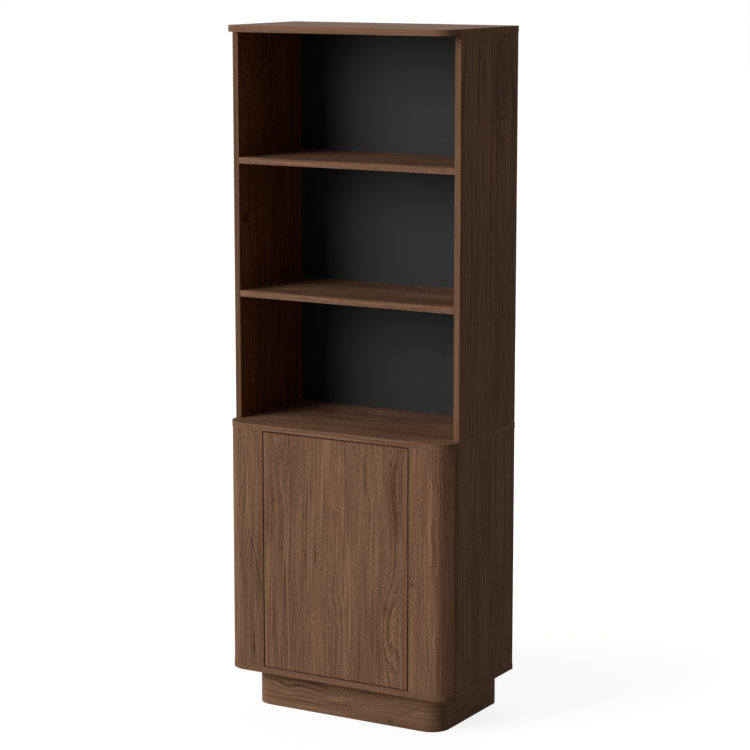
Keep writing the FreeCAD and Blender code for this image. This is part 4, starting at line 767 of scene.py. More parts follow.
class NodeTool:
    """A Geometry Nodes tree built in code, run on a few points and turned into a mesh."""

    def __init__(self, name: str, inputs: dict[str, float | Sequence[float]]) -> None:
        """Start the tree.

        Args:
            name: The tree's name.
            inputs: Start values of its named inputs: a number or a vector.
        """
        self.tree = bpy.data.node_groups.new(name, "GeometryNodeTree")
        face = self.tree.interface
        face.new_socket(name="Places", in_out="INPUT", socket_type="NodeSocketGeometry")
        self.identifiers: dict[str, str] = {}
        for label, start in inputs.items():
            kind = "NodeSocketVector" if isinstance(start, Sequence) else "NodeSocketFloat"
            socket = face.new_socket(name=label, in_out="INPUT", socket_type=kind)
            socket.default_value = start
            self.identifiers[label] = socket.identifier
        finish = face.new_socket(name="Finish", in_out="INPUT", socket_type="NodeSocketMaterial")
        self.identifiers["Finish"] = finish.identifier
        face.new_socket(name="Pieces", in_out="OUTPUT", socket_type="NodeSocketGeometry")
        self.graph = Graph(self.tree)
        self.taken = self.tree.nodes.new("NodeGroupInput").outputs
        self.given = self.tree.nodes.new("NodeGroupOutput").inputs

    def finish(self, shape: Socket) -> None:
        """Set a shape on every place, turned towards its axis, and close the tree.

        Args:
            shape: The shape, which starts at the origin and runs up.
        """
        g, taken = self.graph, self.taken
        toward = g.add("FunctionNodeAlignRotationToVector", {"Vector": taken["Toward"]}, axis="Z")
        luck = g.add("FunctionNodeRandomValue", {2: 0.0, 3: math.pi, "Seed": 4}, data_type="FLOAT")
        spin = g.add("FunctionNodeAxisAngleToRotation", {
            "Axis": (0.0, 0.0, 1.0), "Angle": luck.outputs[1]})
        turned = g.add("FunctionNodeRotateRotation", {0: toward.outputs[0], 1: spin.outputs[0]},
                       rotation_space="LOCAL")
        placed = g.add("GeometryNodeInstanceOnPoints", {
            "Points": taken["Places"], "Instance": shape, "Rotation": turned.outputs[0]})
        solid = g.add("GeometryNodeRealizeInstances", {0: placed.outputs[0]})
        dressed = g.add("GeometryNodeSetMaterial", {
            "Geometry": solid.outputs[0], "Material": taken["Finish"]})
        g.feed(self.given["Pieces"], dressed.outputs[0])

    def make(self, name: str, places: Iterable[Point], finish: Material,
             **sizes: float | Point) -> bpy.types.Object:
        """Run the tree on the places and keep the result as a plain mesh.

        Args:
            name: The new piece's name.
            places: Start points, in millimetres.
            finish: The material.
            **sizes: Named inputs in millimetres; Toward is a direction and Turns a count.

        Returns:
            The finished piece, at the origin.
        """
        start = bpy.data.meshes.new(f"{name}_places")
        start.from_pydata([[part * MM for part in place] for place in places], [], [])
        rough = bpy.data.objects.new(f"{name}_rough", start)
        bpy.context.scene.collection.objects.link(rough)
        tool = rough.modifiers.new("tool", "NODES")
        tool.node_group = self.tree
        for label, size in sizes.items():
            tool[self.identifiers[label]] = size if label in ("Toward", "Turns") else size * MM
        tool[self.identifiers["Finish"]] = finish
        view = bpy.context.evaluated_depsgraph_get()
        mesh = bpy.data.meshes.new_from_object(rough.evaluated_get(view), depsgraph=view)
        rough.modifiers.remove(tool)
        bpy.data.objects.remove(rough)
        piece = bpy.data.objects.new(name, mesh)
        bpy.context.scene.collection.objects.link(piece)
        return piece


def raised(g: Graph, shape: Socket, height: Value) -> Socket:
    """A shape lifted along its axis, in a Geometry Nodes tree."""
    lift = g.vector(0.0, 0.0, height)
    return g.add("GeometryNodeTransform", {"Geometry": shape, "Translation": lift}).outputs[0]


def wound(g: Graph, path: dict[str, Value], corners: int, thick: Value) -> Socket:
    """A coil of round or ridged wire, in a Geometry Nodes tree.

    Args:
        g: The tree's graph.
        path: Inputs of the spiral.
        corners: Corners of the wire's section.
        thick: The wire's radius.

    Returns:
        The coil.
    """
    spiral = g.add("GeometryNodeCurveSpiral", path)
    ring = g.add("GeometryNodeCurvePrimitiveCircle", {"Resolution": corners, "Radius": thick})
    return g.add("GeometryNodeCurveToMesh", {
        "Curve": spiral.outputs[0], "Profile Curve": ring.outputs[0], "Fill Caps": True}).outputs[0]


def screw_tool() -> NodeTool:
    """Countersunk cross-head screws: a cone head, a core, a thread and a cross recess.

    Returns:
        The tool, with the screws' head, shank and length as inputs.
    """
    core_share, thread_share, ridge_share, tip_share = 0.72, 0.78, 0.2, 0.06
    slot_length_share, slot_width_share, slot_depth_share = 1.15, 0.26, 1.5
    tool = NodeTool("cross_head_screws", {
        "Head": 0.006, "Shank": 0.003, "Length": 0.016, "Toward": (0.0, 0.0, 1.0)})
    g, taken = tool.graph, tool.taken
    head = g.times(taken["Head"], 0.5)
    shank = g.times(taken["Shank"], 0.5)
    drop = g.minus(head, shank)
    rest = g.minus(taken["Length"], drop)
    core_radius = g.times(shank, core_share)
    core_length = g.times(rest, 1.0 - tip_share)
    cone = g.add("GeometryNodeMeshCone", {
        "Vertices": 28, "Radius Top": shank, "Radius Bottom": head, "Depth": drop})
    core = g.add("GeometryNodeMeshCylinder", {
        "Vertices": 16, "Radius": core_radius, "Depth": core_length})
    body = raised(g, core.outputs["Mesh"], g.plus(drop, g.times(core_length, 0.5)))
    tip = g.add("GeometryNodeMeshCone", {
        "Vertices": 16, "Radius Top": 0.0, "Radius Bottom": core_radius,
        "Depth": g.times(rest, tip_share)})
    point = raised(g, tip.outputs["Mesh"], g.plus(drop, core_length))
    reach = g.times(shank, thread_share)
    thread = wound(g, {
        "Resolution": 12, "Rotations": g.over(core_length, g.times(shank, 0.8)), "Start Radius": reach,
        "End Radius": reach, "Height": g.times(core_length, 0.96)}, 3, g.times(shank, ridge_share))
    ridge = raised(g, thread, g.plus(drop, g.times(core_length, 0.02)))
    long_side, thin_side = g.times(head, slot_length_share), g.times(head, slot_width_share)
    deep = g.times(drop, slot_depth_share)
    cut = g.add("GeometryNodeMeshBoolean", {"Mesh 1": cone.outputs["Mesh"]}, operation="DIFFERENCE")
    for size in ((long_side, thin_side, deep), (thin_side, long_side, deep)):
        slot = g.add("GeometryNodeMeshCube", {"Size": g.vector(*size)}).outputs["Mesh"]
        g.tree.links.new(slot, cut.inputs["Mesh 2"])
    whole = g.add("GeometryNodeJoinGeometry")
    for part in (cut.outputs["Mesh"], body, point, ridge):
        g.tree.links.new(part, whole.inputs[0])
    tool.finish(whole.outputs[0])
    return tool


def dowel_tool() -> NodeTool:
    """Fluted wooden dowels with narrowed ends.

    Returns:
        The tool, with the dowels' diameter and length and the depth of the flutes as inputs.
    """
    end_length, end_share = 0.0004, 0.12
    tool = NodeTool("fluted_dowels", {
        "Diameter": 0.008, "Length": 0.03, "Flute": 0.00035, "Toward": (0.0, 0.0, 1.0)})
    g, taken = tool.graph, tool.taken
    radius, half = g.times(taken["Diameter"], 0.5), g.times(taken["Length"], 0.5)
    rod = g.add("GeometryNodeMeshCylinder", {
        "Vertices": 48, "Side Segments": 24, "Radius": radius, "Depth": taken["Length"]})
    odd = g.math("MODULO", g.add("GeometryNodeInputIndex").outputs[0], 2.0)
    x, y, z = g.split(g.add("GeometryNodeInputPosition").outputs[0])
    ends = g.math("LESS_THAN", g.minus(half, g.math("ABSOLUTE", z)), end_length)
    flute = g.over(g.times(odd, taken["Flute"]), radius)
    narrow = g.minus(g.minus(1.0, flute), g.times(ends, end_share))
    place = g.vector(g.times(x, narrow), g.times(y, narrow), z)
    shaped = g.add("GeometryNodeSetPosition", {"Geometry": rod.outputs["Mesh"], "Position": place})
    tool.finish(raised(g, shaped.outputs[0], half))
    return tool


def spring_tool() -> NodeTool:
    """A coil spring wound from round wire.

    Returns:
        The tool, with the spring's outer diameter, wire, length and turns as inputs.
    """
    tool = NodeTool("coil_spring", {
        "Outer": 0.008, "Wire": 0.001, "Length": 0.019, "Turns": 8.0, "Toward": (0.0, 0.0, 1.0)})
    g, taken = tool.graph, tool.taken
    half_wire = g.times(taken["Wire"], 0.5)
    reach = g.minus(g.times(taken["Outer"], 0.5), half_wire)
    coil = wound(g, {
        "Resolution": 28, "Rotations": taken["Turns"], "Start Radius": reach, "End Radius": reach,
        "Height": g.minus(taken["Length"], taken["Wire"])}, 10, half_wire)
    smooth = g.add("GeometryNodeSetShadeSmooth", {"Geometry": coil})
    tool.finish(raised(g, smooth.outputs[0], half_wire))
    return tool


class Workshop:
    """What every sub-assembly needs: shared effects, tools and the common finishes."""

    def __init__(self) -> None:
        """Build the shared groups, the tools and the finishes."""
        self.effects = Effects()
        self.screws = screw_tool()
        self.dowels = dowel_tool()
        self.springs = spring_tool()
        self.zinc = ZINC_PLATE.material(self.effects)
        self.nickel = NICKEL_PLATE.material(self.effects)
        self.beech = BEECH.material(self.effects)

    def cover(self, finish: Finish, *nodes: str) -> None:
        """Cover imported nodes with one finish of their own."""
        paint(finish.material(self.effects), *nodes)

    def add_screws(self, node: str, places: Iterable[Point], toward: Point, length: float,
                   head: float = 6.0, shank: float = 3.0, body: str = "carcass") -> None:
        """Cross-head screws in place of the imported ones, from the middles of their heads."""
        piece = self.screws.make(f"{node}_cross_head", places, self.zinc, Head=head, Shank=shank,
                                 Length=length, Toward=toward)
        self.seat(piece, body, node, "zinc_screw")

    def add_dowels(self, node: str, places: Iterable[Point], toward: Point) -> None:
        """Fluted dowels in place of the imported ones, from the middles of their first ends."""
        piece = self.dowels.make(f"{node}_fluted", places, self.beech, **DOWEL, Toward=toward)
        self.seat(piece, "carcass", node, "beech_dowel")

    @staticmethod
    def seat(piece: bpy.types.Object, body: str, node: str, slot: str) -> None:
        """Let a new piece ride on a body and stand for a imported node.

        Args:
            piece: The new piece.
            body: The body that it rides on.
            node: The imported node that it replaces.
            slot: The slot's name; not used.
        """
        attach(piece, body)
        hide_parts(node)
        log.info("%s: %d faces, for %s", piece.name, len(piece.data.polygons), node)


@dataclass
class Assembly:
    """A part of the bookshelf, in millimetres, and the workshop that dresses it."""

    shop: Workshop

    @staticmethod
    def pairs(x: float, y: float, heights: Sequence[float], off: float) -> list[Point]:
        """Where two screws stand, one below and one above each height."""
        return [(x, y, height + way * off) for height in heights for way in BOTH_WAYS]


@dataclass
class Case(Assembly):
    """What the cabinet and the rack share: screws through the back and dowels in both ends."""

    foot: float
    head: float
    back: float = 176.0
    back_screw_x: float = 313.0
    back_screw_length: float = 16.0
    dowel_x: float = 316.0
    dowel_below: float = 10.0
    dowel_above: float = 20.0

    def back_places(self, shares: Sequence[float]) -> list[Point]:
        """Where screws stand up both edges of the back, from their shares of the height."""
        height = self.head - self.foot
        return [(side * self.back_screw_x, self.back, self.foot + height * share)
                for side in BOTH_WAYS for share in shares]

    def dowel_places(self, spots: Sequence[tuple[float, float]]) -> list[Point]:
        """Where upright dowels start at the foot and the head, from their spots on the right."""
        starts = (self.foot - self.dowel_below, self.head - self.dowel_above)
        return [(side * across, deep, start)
                for start in starts for side in BOTH_WAYS for across, deep in spots]


@dataclass
class Plinth(Assembly):
    """The recessed foot: a wall bent round both front corners, and what stiffens it."""

    block_x: float = 243.0
    block_front: float = -60.0
    block_back: float = 145.0
    block_foot: float = 66.0
    screw_length: float = 46.0
    screw_head: float = 8.0
    screw_shank: float = 4.0

    def dress(self) -> None:
        """Cover the plinth's pieces and set its screws."""
        shop = self.shop
        wall = Veneer(
            "plinth_veneer", Lay.WRAPPED_LYING, heart=(40, 30), drift=0.05, pitch=9, seed=2.3, wander=16,
            figure=1.2, contrast=0.86, lines=0.7, plinth=True,
            eyes=((-172, 56, 26, 12, 12, 0, 0.3, 0.15, 0.5), (132, 12.7, 8, 5, 18, 0, 0.9, 0.95),
                  (30, 62, 130, 22, 20, 0.03, 0.2, 0, 0.6)),
            marks=(
                (-20, 46, 42, 6, 0.22, 0.1), (-172, 40, 26, 5, 0.2), (-90, 84, 60, 7, -0.16, 0, 0.3),
                (60, 80, 60, 6, -0.12, -0.15, 0.2), (196, 50, 30, 2.4, -0.2, 0.45),
                (-20, 32, 40, 5, -0.14, 0, 0.6), (190, 34, 40, 8, 0.12, 0.3, 0.4),
                # The last lens, lifted by 0.16 on the right-hand curve, is painted light on that curve
                (276, 50, 34, 80, 0.16)))
        shop.cover(wall, "plinth_wrap")
        shop.cover(Veneer("plinth_rail_veneer", Lay.WRAPPED_LYING, heart=(30, 60), drift=0.03, pitch=7,
                          seed=8.1), "plinth_rear_rail", "plinth_cross_brace")
        shop.cover(PINE, "plinth_glue_blocks")
        places = [(side * self.block_x, deep, self.block_foot)
                  for side in BOTH_WAYS for deep in (self.block_front, self.block_back)]
        shop.add_screws("plinth_screws", places, (0, 0, 1), self.screw_length, self.screw_head,
                        self.screw_shank)


@dataclass
class Cabinet(Case):
    """The closed part: two boards, curved posts, sides, stiles, inner shelf and back."""

    foot: float = 116.0
    head: float = 734.0
    back_screws: tuple[float, ...] = (0.08, 0.5, 0.92)
    side_dowels: tuple[float, ...] = (-122.0, 18.0, 158.0)
    post_dowels: tuple[tuple[float, float], ...] = ((229.5, -167.0), (221.5, -119.0))

    def dress(self) -> None:
        """Cover the cabinet's pieces and set its screws and dowels."""
        shop = self.shop
        self.boards()
        self.posts()
        self.sides()
        shop.cover(BlackSheet("cabinet_back_sheet"), "cabinet_back")
        paint(shop.nickel, "shelf_pins")
        shop.add_screws("cabinet_back_screws", self.back_places(self.back_screws), (0, -1, 0),
                        self.back_screw_length)
        spots = [(self.dowel_x, deep) for deep in self.side_dowels] + [*self.post_dowels]
        shop.add_dowels("cabinet_dowels", self.dowel_places(spots), (0, 0, 1))

    def boards(self) -> None:
        """Cover the two boards with rounded corners and the inner shelf."""
        shop = self.shop
        shop.cover(Veneer("cabinet_bottom_veneer", Lay.LYING, heart=(-40, 34), drift=0.03, pitch=8,
                          seed=4.6, shade=1.04), "cabinet_bottom")
        shop.cover(Veneer("cabinet_top_veneer", Lay.LYING, heart=(-60, 30), drift=0.05, pitch=9,
                          seed=6.2, contrast=1.9), "cabinet_top")
        shop.cover(Veneer("cabinet_shelf_veneer", Lay.LYING, heart=(10, 26), drift=0.04, pitch=8,
                          seed=9.4), "cabinet_shelf")

    def posts(self) -> None:
        """Cover the curved posts and the stiles behind them."""
        shop = self.shop
        left = Veneer(
            "left_post_veneer", Lay.WRAPPED_UPRIGHT, heart=(-200, 18), drift=0.09, pitch=8.5, seed=1.7,
            # The post's end face at the door's gap gets painted shade.
            wander=12, shade=0.91, figure=0.8, curly=1.3, lines=0.6, gap_shade_planes=(("x", -211.5),),
            eyes=((161.6, -242.5, 8, 5, 16, 0, 0.95, 0.95),
                  (430, -275, 100, 30, 24, -0.1, 0.2, 0, 0.7)),
            marks=(
                (170, -242.5, 44, 2.2, -0.5), (540, -257, 90, 6, 0.16), (550, -243, 70, 5, -0.14, 0.02),
                (600, -272, 70, 5, -0.12), (390, -236, 80, 4, -0.12, -0.22, 0.3),
                (436, -231, 55, 2, -0.2, -0.3), (410, -237, 60, 2, -0.2, -0.28),
                (376, -242, 60, 2, -0.2, -0.24), (352, -224, 50, 2, -0.18, -0.26),
                (318, -237, 60, 2.2, -0.16, -0.16), (650, -225, 60, 6, -0.1, 0, 0.4)))
        shop.cover(left, "corner_post_left")
        right = Veneer(
            "right_post_veneer", Lay.WRAPPED_UPRIGHT, heart=(330, 20), drift=0.02, pitch=10, seed=3.9,
            # The post's end face at the door's gap gets painted shade.
            shade=1.09, figure=0.2, curly=2.0, lines=0.3, gap_shade_planes=(("x", 211.5),),
            eyes=((390.3, 222.4, 7, 8, 12, 0, 0.9, 0.9), (560, 330, 80, 18, 26, 0, 0.2, 0, 0.9)),
            marks=(
                (560, 246, 110, 3, -0.12), (640, 258, 80, 3, -0.1), (300, 242, 90, 9, -0.06, 0, 0.6),
                # The lens 335 across, lifted by 0.36 up the whole post, is painted light on the end of
                # its curve
                (440, 303, 420, 12, -0.13, 0, 0.5), (425, 335, 620, 17, 0.36),
                (515, 283, 50, 7, -0.16, 0, 0.3), (655, 284, 24, 6, -0.1), (370, 282, 50, 5, 0.1)))
        shop.cover(right, "corner_post_right")
        shop.cover(Veneer("stile_veneer", Lay.UPRIGHT, heart=(-110, 50), drift=0.02, pitch=6, seed=2.9),
                   "hinge_stile", "latch_stile")

    def sides(self) -> None:
        """Cover the sides, which carry on the posts' curve."""
        bands = (
            (570, 508, 170, 20, -0.16), (650, 500, 7, 30, -0.12, 0, 0.6), (430, 391, 150, 4, 0.16),
            (580, 456, 110, 9, 0.14), (600, 536, 100, 4, 0.16), (620, 563, 90, 8, 0.12),
            (140, 538, 26, 7, -0.22), (300, 573, 50, 6, -0.16, 0, 0.3), (620, 396, 60, 22, 0.04, 0, 0.9))
        for side, seed, way in (("left", 5.3, -1), ("right", 7.7, 1)):
            panel = Veneer(
                f"{side}_side_veneer", Lay.WRAPPED_UPRIGHT, heart=(420, 45), drift=0.03, pitch=8,
                seed=seed, wander=12, shade=0.94, curly=0.7, contrast=1.45,
                eyes=((344, way * 564, 7, 10, 14, 0, 0.9, 0.8),),
                marks=tuple((along, way * across, *rest) for along, across, *rest in bands))
            self.shop.cover(panel, f"cabinet_side_{side}")


@dataclass
class Door(Assembly):
    """The flush leaf, and the hinges and strike plate that it carries."""

    foot: float = 118.6
    head: float = 731.4
    half_width: float = 209.5
    screw_face: float = -157.5
    hinge_heights: tuple[float, float] = (652.0, 198.0)
    cup_screw_x: float = -178.0
    cup_screw_off: float = 22.5
    cup_screw_length: float = 12.0
    plate_screw_y: float = -122.0
    plate_screw_off: float = 14.0
    plate_screw_length: float = 15.0
    strike_x: float = 199.5
    strike_z: float = 500.0
    strike_screw_off: float = 13.0
    strike_screw_length: float = 11.0

    def dress(self) -> None:
        """Cover the leaf, plate the hinges and set their screws."""
        shop = self.shop
        self.leaf()
        paint(shop.nickel, *(f"hinge_{part}_{level}" for level in ("upper", "lower")
                             for part in ("cup", "pin", "arm", "plate")), "strike_plate")
        paint(shop.zinc, "hinge_arm_screws")
        places = self.pairs(self.cup_screw_x, self.screw_face, self.hinge_heights, self.cup_screw_off)
        shop.add_screws("hinge_cup_screws", places, (0, -1, 0), self.cup_screw_length, body="door")
        places = self.pairs(-self.half_width, self.plate_screw_y, self.hinge_heights,
                            self.plate_screw_off)
        shop.add_screws("hinge_plate_screws", places, (-1, 0, 0), self.plate_screw_length)
        places = self.pairs(self.strike_x, self.screw_face, (self.strike_z,), self.strike_screw_off)
        shop.add_screws("strike_screws", places, (0, -1, 0), self.strike_screw_length, body="door")

    def leaf(self) -> None:
        """Cover the leaf, with painted shade on its edge faces in the gaps round it."""
        front = Veneer(
            "door_veneer", Lay.LEAF, heart=(-40, 22), drift=-0.06, pitch=9, seed=0.6, wander=16,
            curly=0.3, lines=0.5, raw_back=False,
            gap_shade_planes=(("x", -self.half_width), ("x", self.half_width),
                     ("z", self.foot), ("z", self.head)),
            eyes=(
                (352, 14, 62, 15, 15, 0.02, 0.25, 0.18, 0.7), (250, 146, 130, 32, 28, 0.06, 0.2, 0, 1.5),
                (640, -165, 80, 24, 34, -0.1, 0.2, 0, 0.3), (668, 160, 110, 20, 26, -0.05, 0.2, 0, 0.3)),
            marks=(
                (654, 89, 48, 2.2, -0.5), (688, 161, 7, 3.5, -0.45), (595, 170, 105, 19, -0.1, 0, 0.8),
                (430, -56, 24, 2.2, -0.5), (332, -148, 72, 2.2, -0.5, 0.01), (480, -192, 44, 9, -0.2),
                (680, -182, 64, 9, -0.08, 0, 0.8), (640, -125, 105, 10, -0.06, 0, 0.8),
                (690, -25, 54, 6, 0.16), (655, 130, 68, 6, 0.16), (440, 37, 44, 5, 0.16),
                (450, 192, 54, 6, 0.14), (316, 145, 18, 8, -0.2, 0, 0.6),
                (285, 112, 80, 9, -0.08, 0.05, 0.9), (560, -186, 60, 10, -0.06, -0.1, 0.9),
                (196, 132, 44, 12, -0.08, 0, 0.8)))
        self.shop.cover(front, "door_panel")


@dataclass
class PushLatch(Assembly):
    """The sprung plunger that lets the door go when it is pushed."""

    across: float = 199.5
    height: float = 500.0
    spring_start: float = -106.9
    spring_length: float = 18.9
    spring_outer: float = 8.0
    spring_wire: float = 1.0
    spring_turns: float = 8.0
    screw_x: float = 207.5
    screw_y: float = -114.0
    screw_off: float = 15.0
    screw_length: float = 16.0

    def dress(self) -> None:
        """Finish the latch and wind its spring."""
        shop = self.shop
        shop.cover(GREY_PLASTIC, "latch_housing", "latch_plunger")
        shop.cover(MAGNET, "latch_magnet")
        spring = shop.springs.make(
            "latch_spring_coil", [(self.across, self.spring_start, self.height)],
            SPRING_STEEL.material(shop.effects), Outer=self.spring_outer, Wire=self.spring_wire,
            Length=self.spring_length, Turns=self.spring_turns, Toward=(0, 1, 0))
        shop.seat(spring, "carcass", "latch_spring", "spring_steel")
        places = self.pairs(self.screw_x, self.screw_y, (self.height,), self.screw_off)
        shop.add_screws("latch_screws", places, (1, 0, 0), self.screw_length)


@dataclass
class Rack(Case):
    """The open part: two sides, two shelves, the top board and the black back."""

    foot: float = 750.0
    head: float = 1732.0
    shelf_middles: tuple[float, float] = (1410.0, 1072.0)
    shelf_screw_x: float = 154.0
    back_screws: tuple[float, ...] = (0.06, 0.27, 0.5, 0.72, 0.94)
    dowel_rows: tuple[float, ...] = (-84.0, -52.0, 101.5, 133.5)
    shelf_dowel_starts: tuple[float, float] = (-318.0, 288.0)

    def dress(self) -> None:
        """Cover the rack's pieces and set its screws and dowels."""
        shop = self.shop
        shop.cover(Veneer("top_board_veneer", Lay.LYING, heart=(30, 30), drift=0.04, pitch=8.5, seed=3.1,
                          shade=1.04), "top_board")
        shop.cover(Veneer("upper_shelf_veneer", Lay.LYING, heart=(60, 26), drift=0.05, pitch=8.5,
                          seed=1.2, figure=1.3, contrast=1.6), "shelf_upper")
        shop.cover(Veneer("lower_shelf_veneer", Lay.LYING, heart=(-20, 24), drift=-0.05, pitch=8.5,
                          seed=8.8, figure=1.3, contrast=1.6), "shelf_lower")
        self.sides()
        shop.cover(BlackSheet("rack_back_sheet"), "rack_back")
        shop.cover(ZINC_CASTING, "cam_locks")
        paint(shop.zinc, "cam_bolts")
        self.fasten()

    def sides(self) -> None:
        """Cover the two sides, each with its own look towards the bays."""
        left = Veneer(
            "left_rack_veneer", Lay.UPRIGHT, heart=(-60, 24), drift=0.05, pitch=8, seed=2.6,
            contrast=1.25, inner=1.0, curly=0.3,
            eyes=((1262, -107, 34, 28, 36, 0, 0.3, 0.6, 0.8), (1580, -98, 70, 24, 30, 0, 0.2, 0, 0.5)),
            marks=(
                (1262, -96, 12, 12, -0.3), (1600, -78, 60, 3, 0.2, 0.06), (1300, 12, 240, 5, 0.1),
                (1540, -12, 150, 4, -0.2), (1590, 25, 100, 4, -0.2), (1241, -316, 900, 40, -0.27)))
        self.shop.cover(left, "rack_side_left")
        right = Veneer(
            "right_rack_veneer", Lay.UPRIGHT, heart=(20, 42), drift=0.03, pitch=8, seed=6.9,
            shade=0.88, contrast=1.5, warm=0.12, inner=-0.3, curly=0.7,
            eyes=((1307, -105, 26, 12, 24, 0, 0.3, 0.4, 0.5), (1620, 88, 90, 30, 34, 0.1, 0.2, 0, 0.8)),
            marks=(
                (1672, -27, 40, 3, -0.3), (1600, 2, 56, 3.5, -0.3, -0.08), (1640, -8, 70, 2.5, -0.2),
                (1620, 40, 90, 3, -0.22), (1600, -40, 120, 6, 0.14), (1610, 90, 90, 28, -0.16, 0, 0.3),
                (1450, 90, 24, 5, -0.24), (1042, 105, 20, 8, -0.2), (1150, 46, 36, 2, -0.3),
                (1190, -118, 80, 8, -0.14, 0, 0.6), (1560, -112, 120, 10, -0.12),
                (1241, 316, 900, 40, 0.1)))
        self.shop.cover(right, "rack_side_right")

    def fasten(self) -> None:
        """Set the back's screws and both sets of dowels."""
        shop = self.shop
        places = self.back_places(self.back_screws)
        places += [(side * self.shelf_screw_x, self.back, middle)
                   for middle in self.shelf_middles for side in BOTH_WAYS]
        shop.add_screws("rack_back_screws", places, (0, -1, 0), self.back_screw_length)
        spots = [(self.dowel_x, deep) for deep in self.dowel_rows]
        shop.add_dowels("rack_dowels", self.dowel_places(spots), (0, 0, 1))
        shop.add_dowels("shelf_dowels", [
            (start, deep, middle) for middle in self.shelf_middles
            for deep in self.dowel_rows[1:3] for start in self.shelf_dowel_starts], (1, 0, 0))


@dataclass
class WallFixing(Assembly):
    """The angle under the top board that a wall screw goes through."""

    middle: float = 230.0
    ledge: float = 1730.0
    deep: float = 156.5
    screw_off: float = 11.0
    screw_length: float = 13.0

    def dress(self) -> None:
        """Plate the angle and set its screws."""
        paint(self.shop.zinc, "wall_bracket")
        places = [(self.middle + side * self.screw_off, self.deep, self.ledge)
                  for side in BOTH_WAYS]
        self.shop.add_screws("bracket_screws", places, (0, 0, 1), self.screw_length)


@dataclass(frozen=True)
class Lamp:
    """A soft oval lamp, in metres and watts; only one with shine shows in gloss."""

    name: str
    place: Point
    size: tuple[float, float]
    power: float
    colour: Point = (1.0, 1.0, 1.0)
    shine: bool = False

    def build(self, aim: Point) -> None:
        """Hang the lamp and turn it.

        Args:
            aim: The point that it is turned to.
        """
        light = bpy.data.lights.new(self.name, "AREA")
        light.color = self.colour
        light.shape = "ELLIPSE"
        light.size, light.size_y = self.size
        light.energy = self.power
        stand = bpy.data.objects.new(self.name, light)
        stand.location = self.place
        stand.visible_camera = False
        stand.visible_glossy = self.shine
        way = Vector(aim) - Vector(self.place)
        stand.rotation_euler = way.to_track_quat("-Z", "Y").to_euler()
        bpy.context.scene.collection.objects.link(stand)


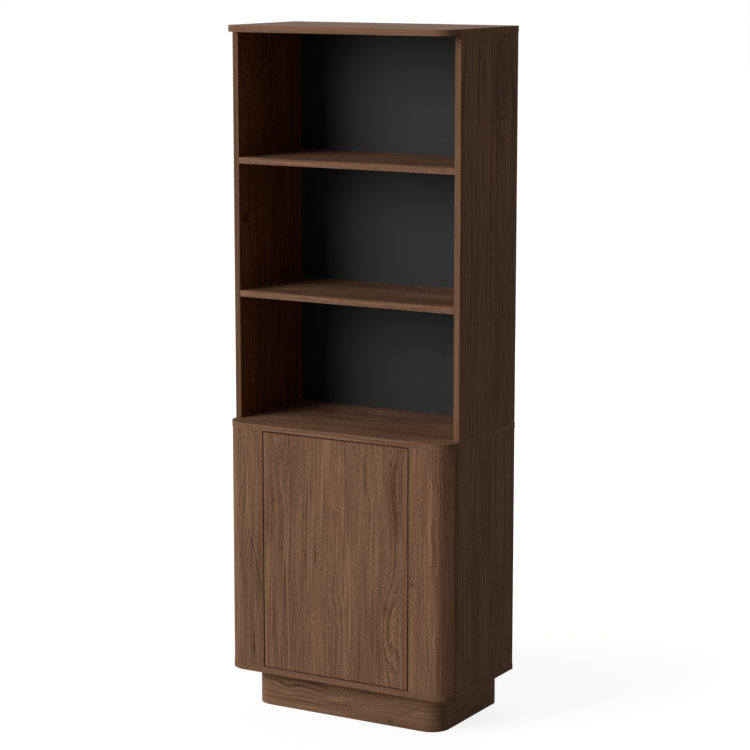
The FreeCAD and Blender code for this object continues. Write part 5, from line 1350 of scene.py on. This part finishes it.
@dataclass
class Studio:
    """Floor, lamps and camera, in metres and degrees; lens and sensor in millimetres."""

    camera_place: Point = (3.1009, -5.3413, 1.9575)
    yaw: float = 30.009
    pitch: float = 9.99
    lens: float = 118.712
    sensor: float = 36.0
    view_end: float = 200.0
    fill: float = 0.075
    fill_colour: Colour = (1.0, 0.78, 0.55, 1.0)
    floor_size: float = 60.0
    floor_glow: float = 0.86
    far_glow: float = 0.2
    far_from: float = 0.5
    far_to: float = 2.4
    floor_grey: Colour = (0.25, 0.25, 0.25, 1.0)
    aim: Point = (0.0, 0.0, 0.87)
    lamps: tuple[Lamp, ...] = (
        Lamp("key_lamp", (-4.39, -6.76, 3.6), (5.6, 5.2), 820.0, shine=True),
        Lamp("top_lamp", (0.0, 0.2, 5.0), (2.5, 2.5), 20.0),
        Lamp("side_lamp", (5.2, 0.4, 1.8), (3.0, 3.0), 22.0, (1.0, 0.92, 0.82)),
        Lamp("rear_lamp", (-1.5, 4.2, 5.0), (2.5, 2.5), 66.0),
        Lamp("back_lamp", (-1.6, 5.8, 1.5), (2.4, 2.4), 130.0),
    )

    def build(self) -> None:
        """Make everything that isn't the bookshelf."""
        self.world()
        self.floor()
        for lamp in self.lamps:
            lamp.build(self.aim)
        self.camera()

    @staticmethod
    def seen(g: Graph) -> Socket:
        """Tell what only looks at the backdrop from what it lights.

        Args:
            g: The graph of the backdrop's material or of the world.

        Returns:
            1 where the eye, a reflection or a clear material looks at the backdrop.
        """
        path = g.add("ShaderNodeLightPath").outputs
        mirrored = g.math("MAXIMUM", path["Is Glossy Ray"], path["Is Transmission Ray"])
        return g.math("MAXIMUM", path["Is Camera Ray"], mirrored)

    def world(self) -> None:
        """White to look at, and a low even fill on the object."""
        world = bpy.data.worlds.new("studio_air")
        bpy.context.scene.world = world
        g = empty_graph(world)
        back = g.add("ShaderNodeBackground", {0: WHITE, 1: 1.0})
        fill = g.add("ShaderNodeBackground", {0: self.fill_colour, 1: self.fill})
        mixed = g.add("ShaderNodeMixShader", {0: self.seen(g), 1: fill.outputs[0], 2: back.outputs[0]})
        g.add("ShaderNodeOutputWorld", {0: mixed.outputs[0]})

    def floor(self) -> None:
        """A pale floor that keeps the shadow of the plinth."""
        half = self.floor_size / 2
        mesh = bpy.data.meshes.new("pale_floor")
        corners = [(-half, -half, 0.0), (half, -half, 0.0), (half, half, 0.0), (-half, half, 0.0)]
        mesh.from_pydata(corners, [], [(0, 1, 2, 3)])
        floor = bpy.data.objects.new("pale_floor", mesh)
        bpy.context.scene.collection.objects.link(floor)
        made = bpy.data.materials.new("pale_floor")
        g = empty_graph(made)
        place = g.add("ShaderNodeTexCoord").outputs["Object"]
        away = g.add("ShaderNodeVectorMath", {0: place}, operation="LENGTH").outputs["Value"]
        far = g.step(away, self.far_from, self.far_to)
        lift = g.plus(self.floor_glow, g.times(far, self.far_glow))
        matt = g.add("ShaderNodeBsdfDiffuse", {0: self.floor_grey})
        glow = g.add("ShaderNodeEmission", {0: WHITE, 1: lift})
        lit = g.add("ShaderNodeAddShader", {0: matt.outputs[0], 1: glow.outputs[0]})
        mixed = g.add("ShaderNodeMixShader", {0: self.seen(g), 1: matt.outputs[0], 2: lit.outputs[0]})
        g.add("ShaderNodeOutputMaterial", {0: mixed.outputs[0]})
        mesh.materials.append(made)

    def camera(self) -> None:
        """The photograph's camera, solved from its straight edges."""
        lens = bpy.data.cameras.new("photo_camera")
        lens.lens = self.lens
        lens.sensor_width = self.sensor
        lens.clip_end = self.view_end
        stand = bpy.data.objects.new("photo_camera", lens)
        stand.location = self.camera_place
        stand.rotation_euler = (math.radians(90.0 - self.pitch), 0.0, math.radians(self.yaw))
        bpy.context.scene.collection.objects.link(stand)
        bpy.context.scene.camera = stand


def main() -> None:
    """Dress every sub-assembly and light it."""
    bpy.context.scene.view_settings.view_transform = "Standard"
    shop = Workshop()
    for kind in (Plinth, Cabinet, Door, PushLatch, Rack, WallFixing):
        kind(shop).dress()
        log.info("%s is dressed", kind.__name__)
    Studio().build()


if __name__ == "__main__":
    main()
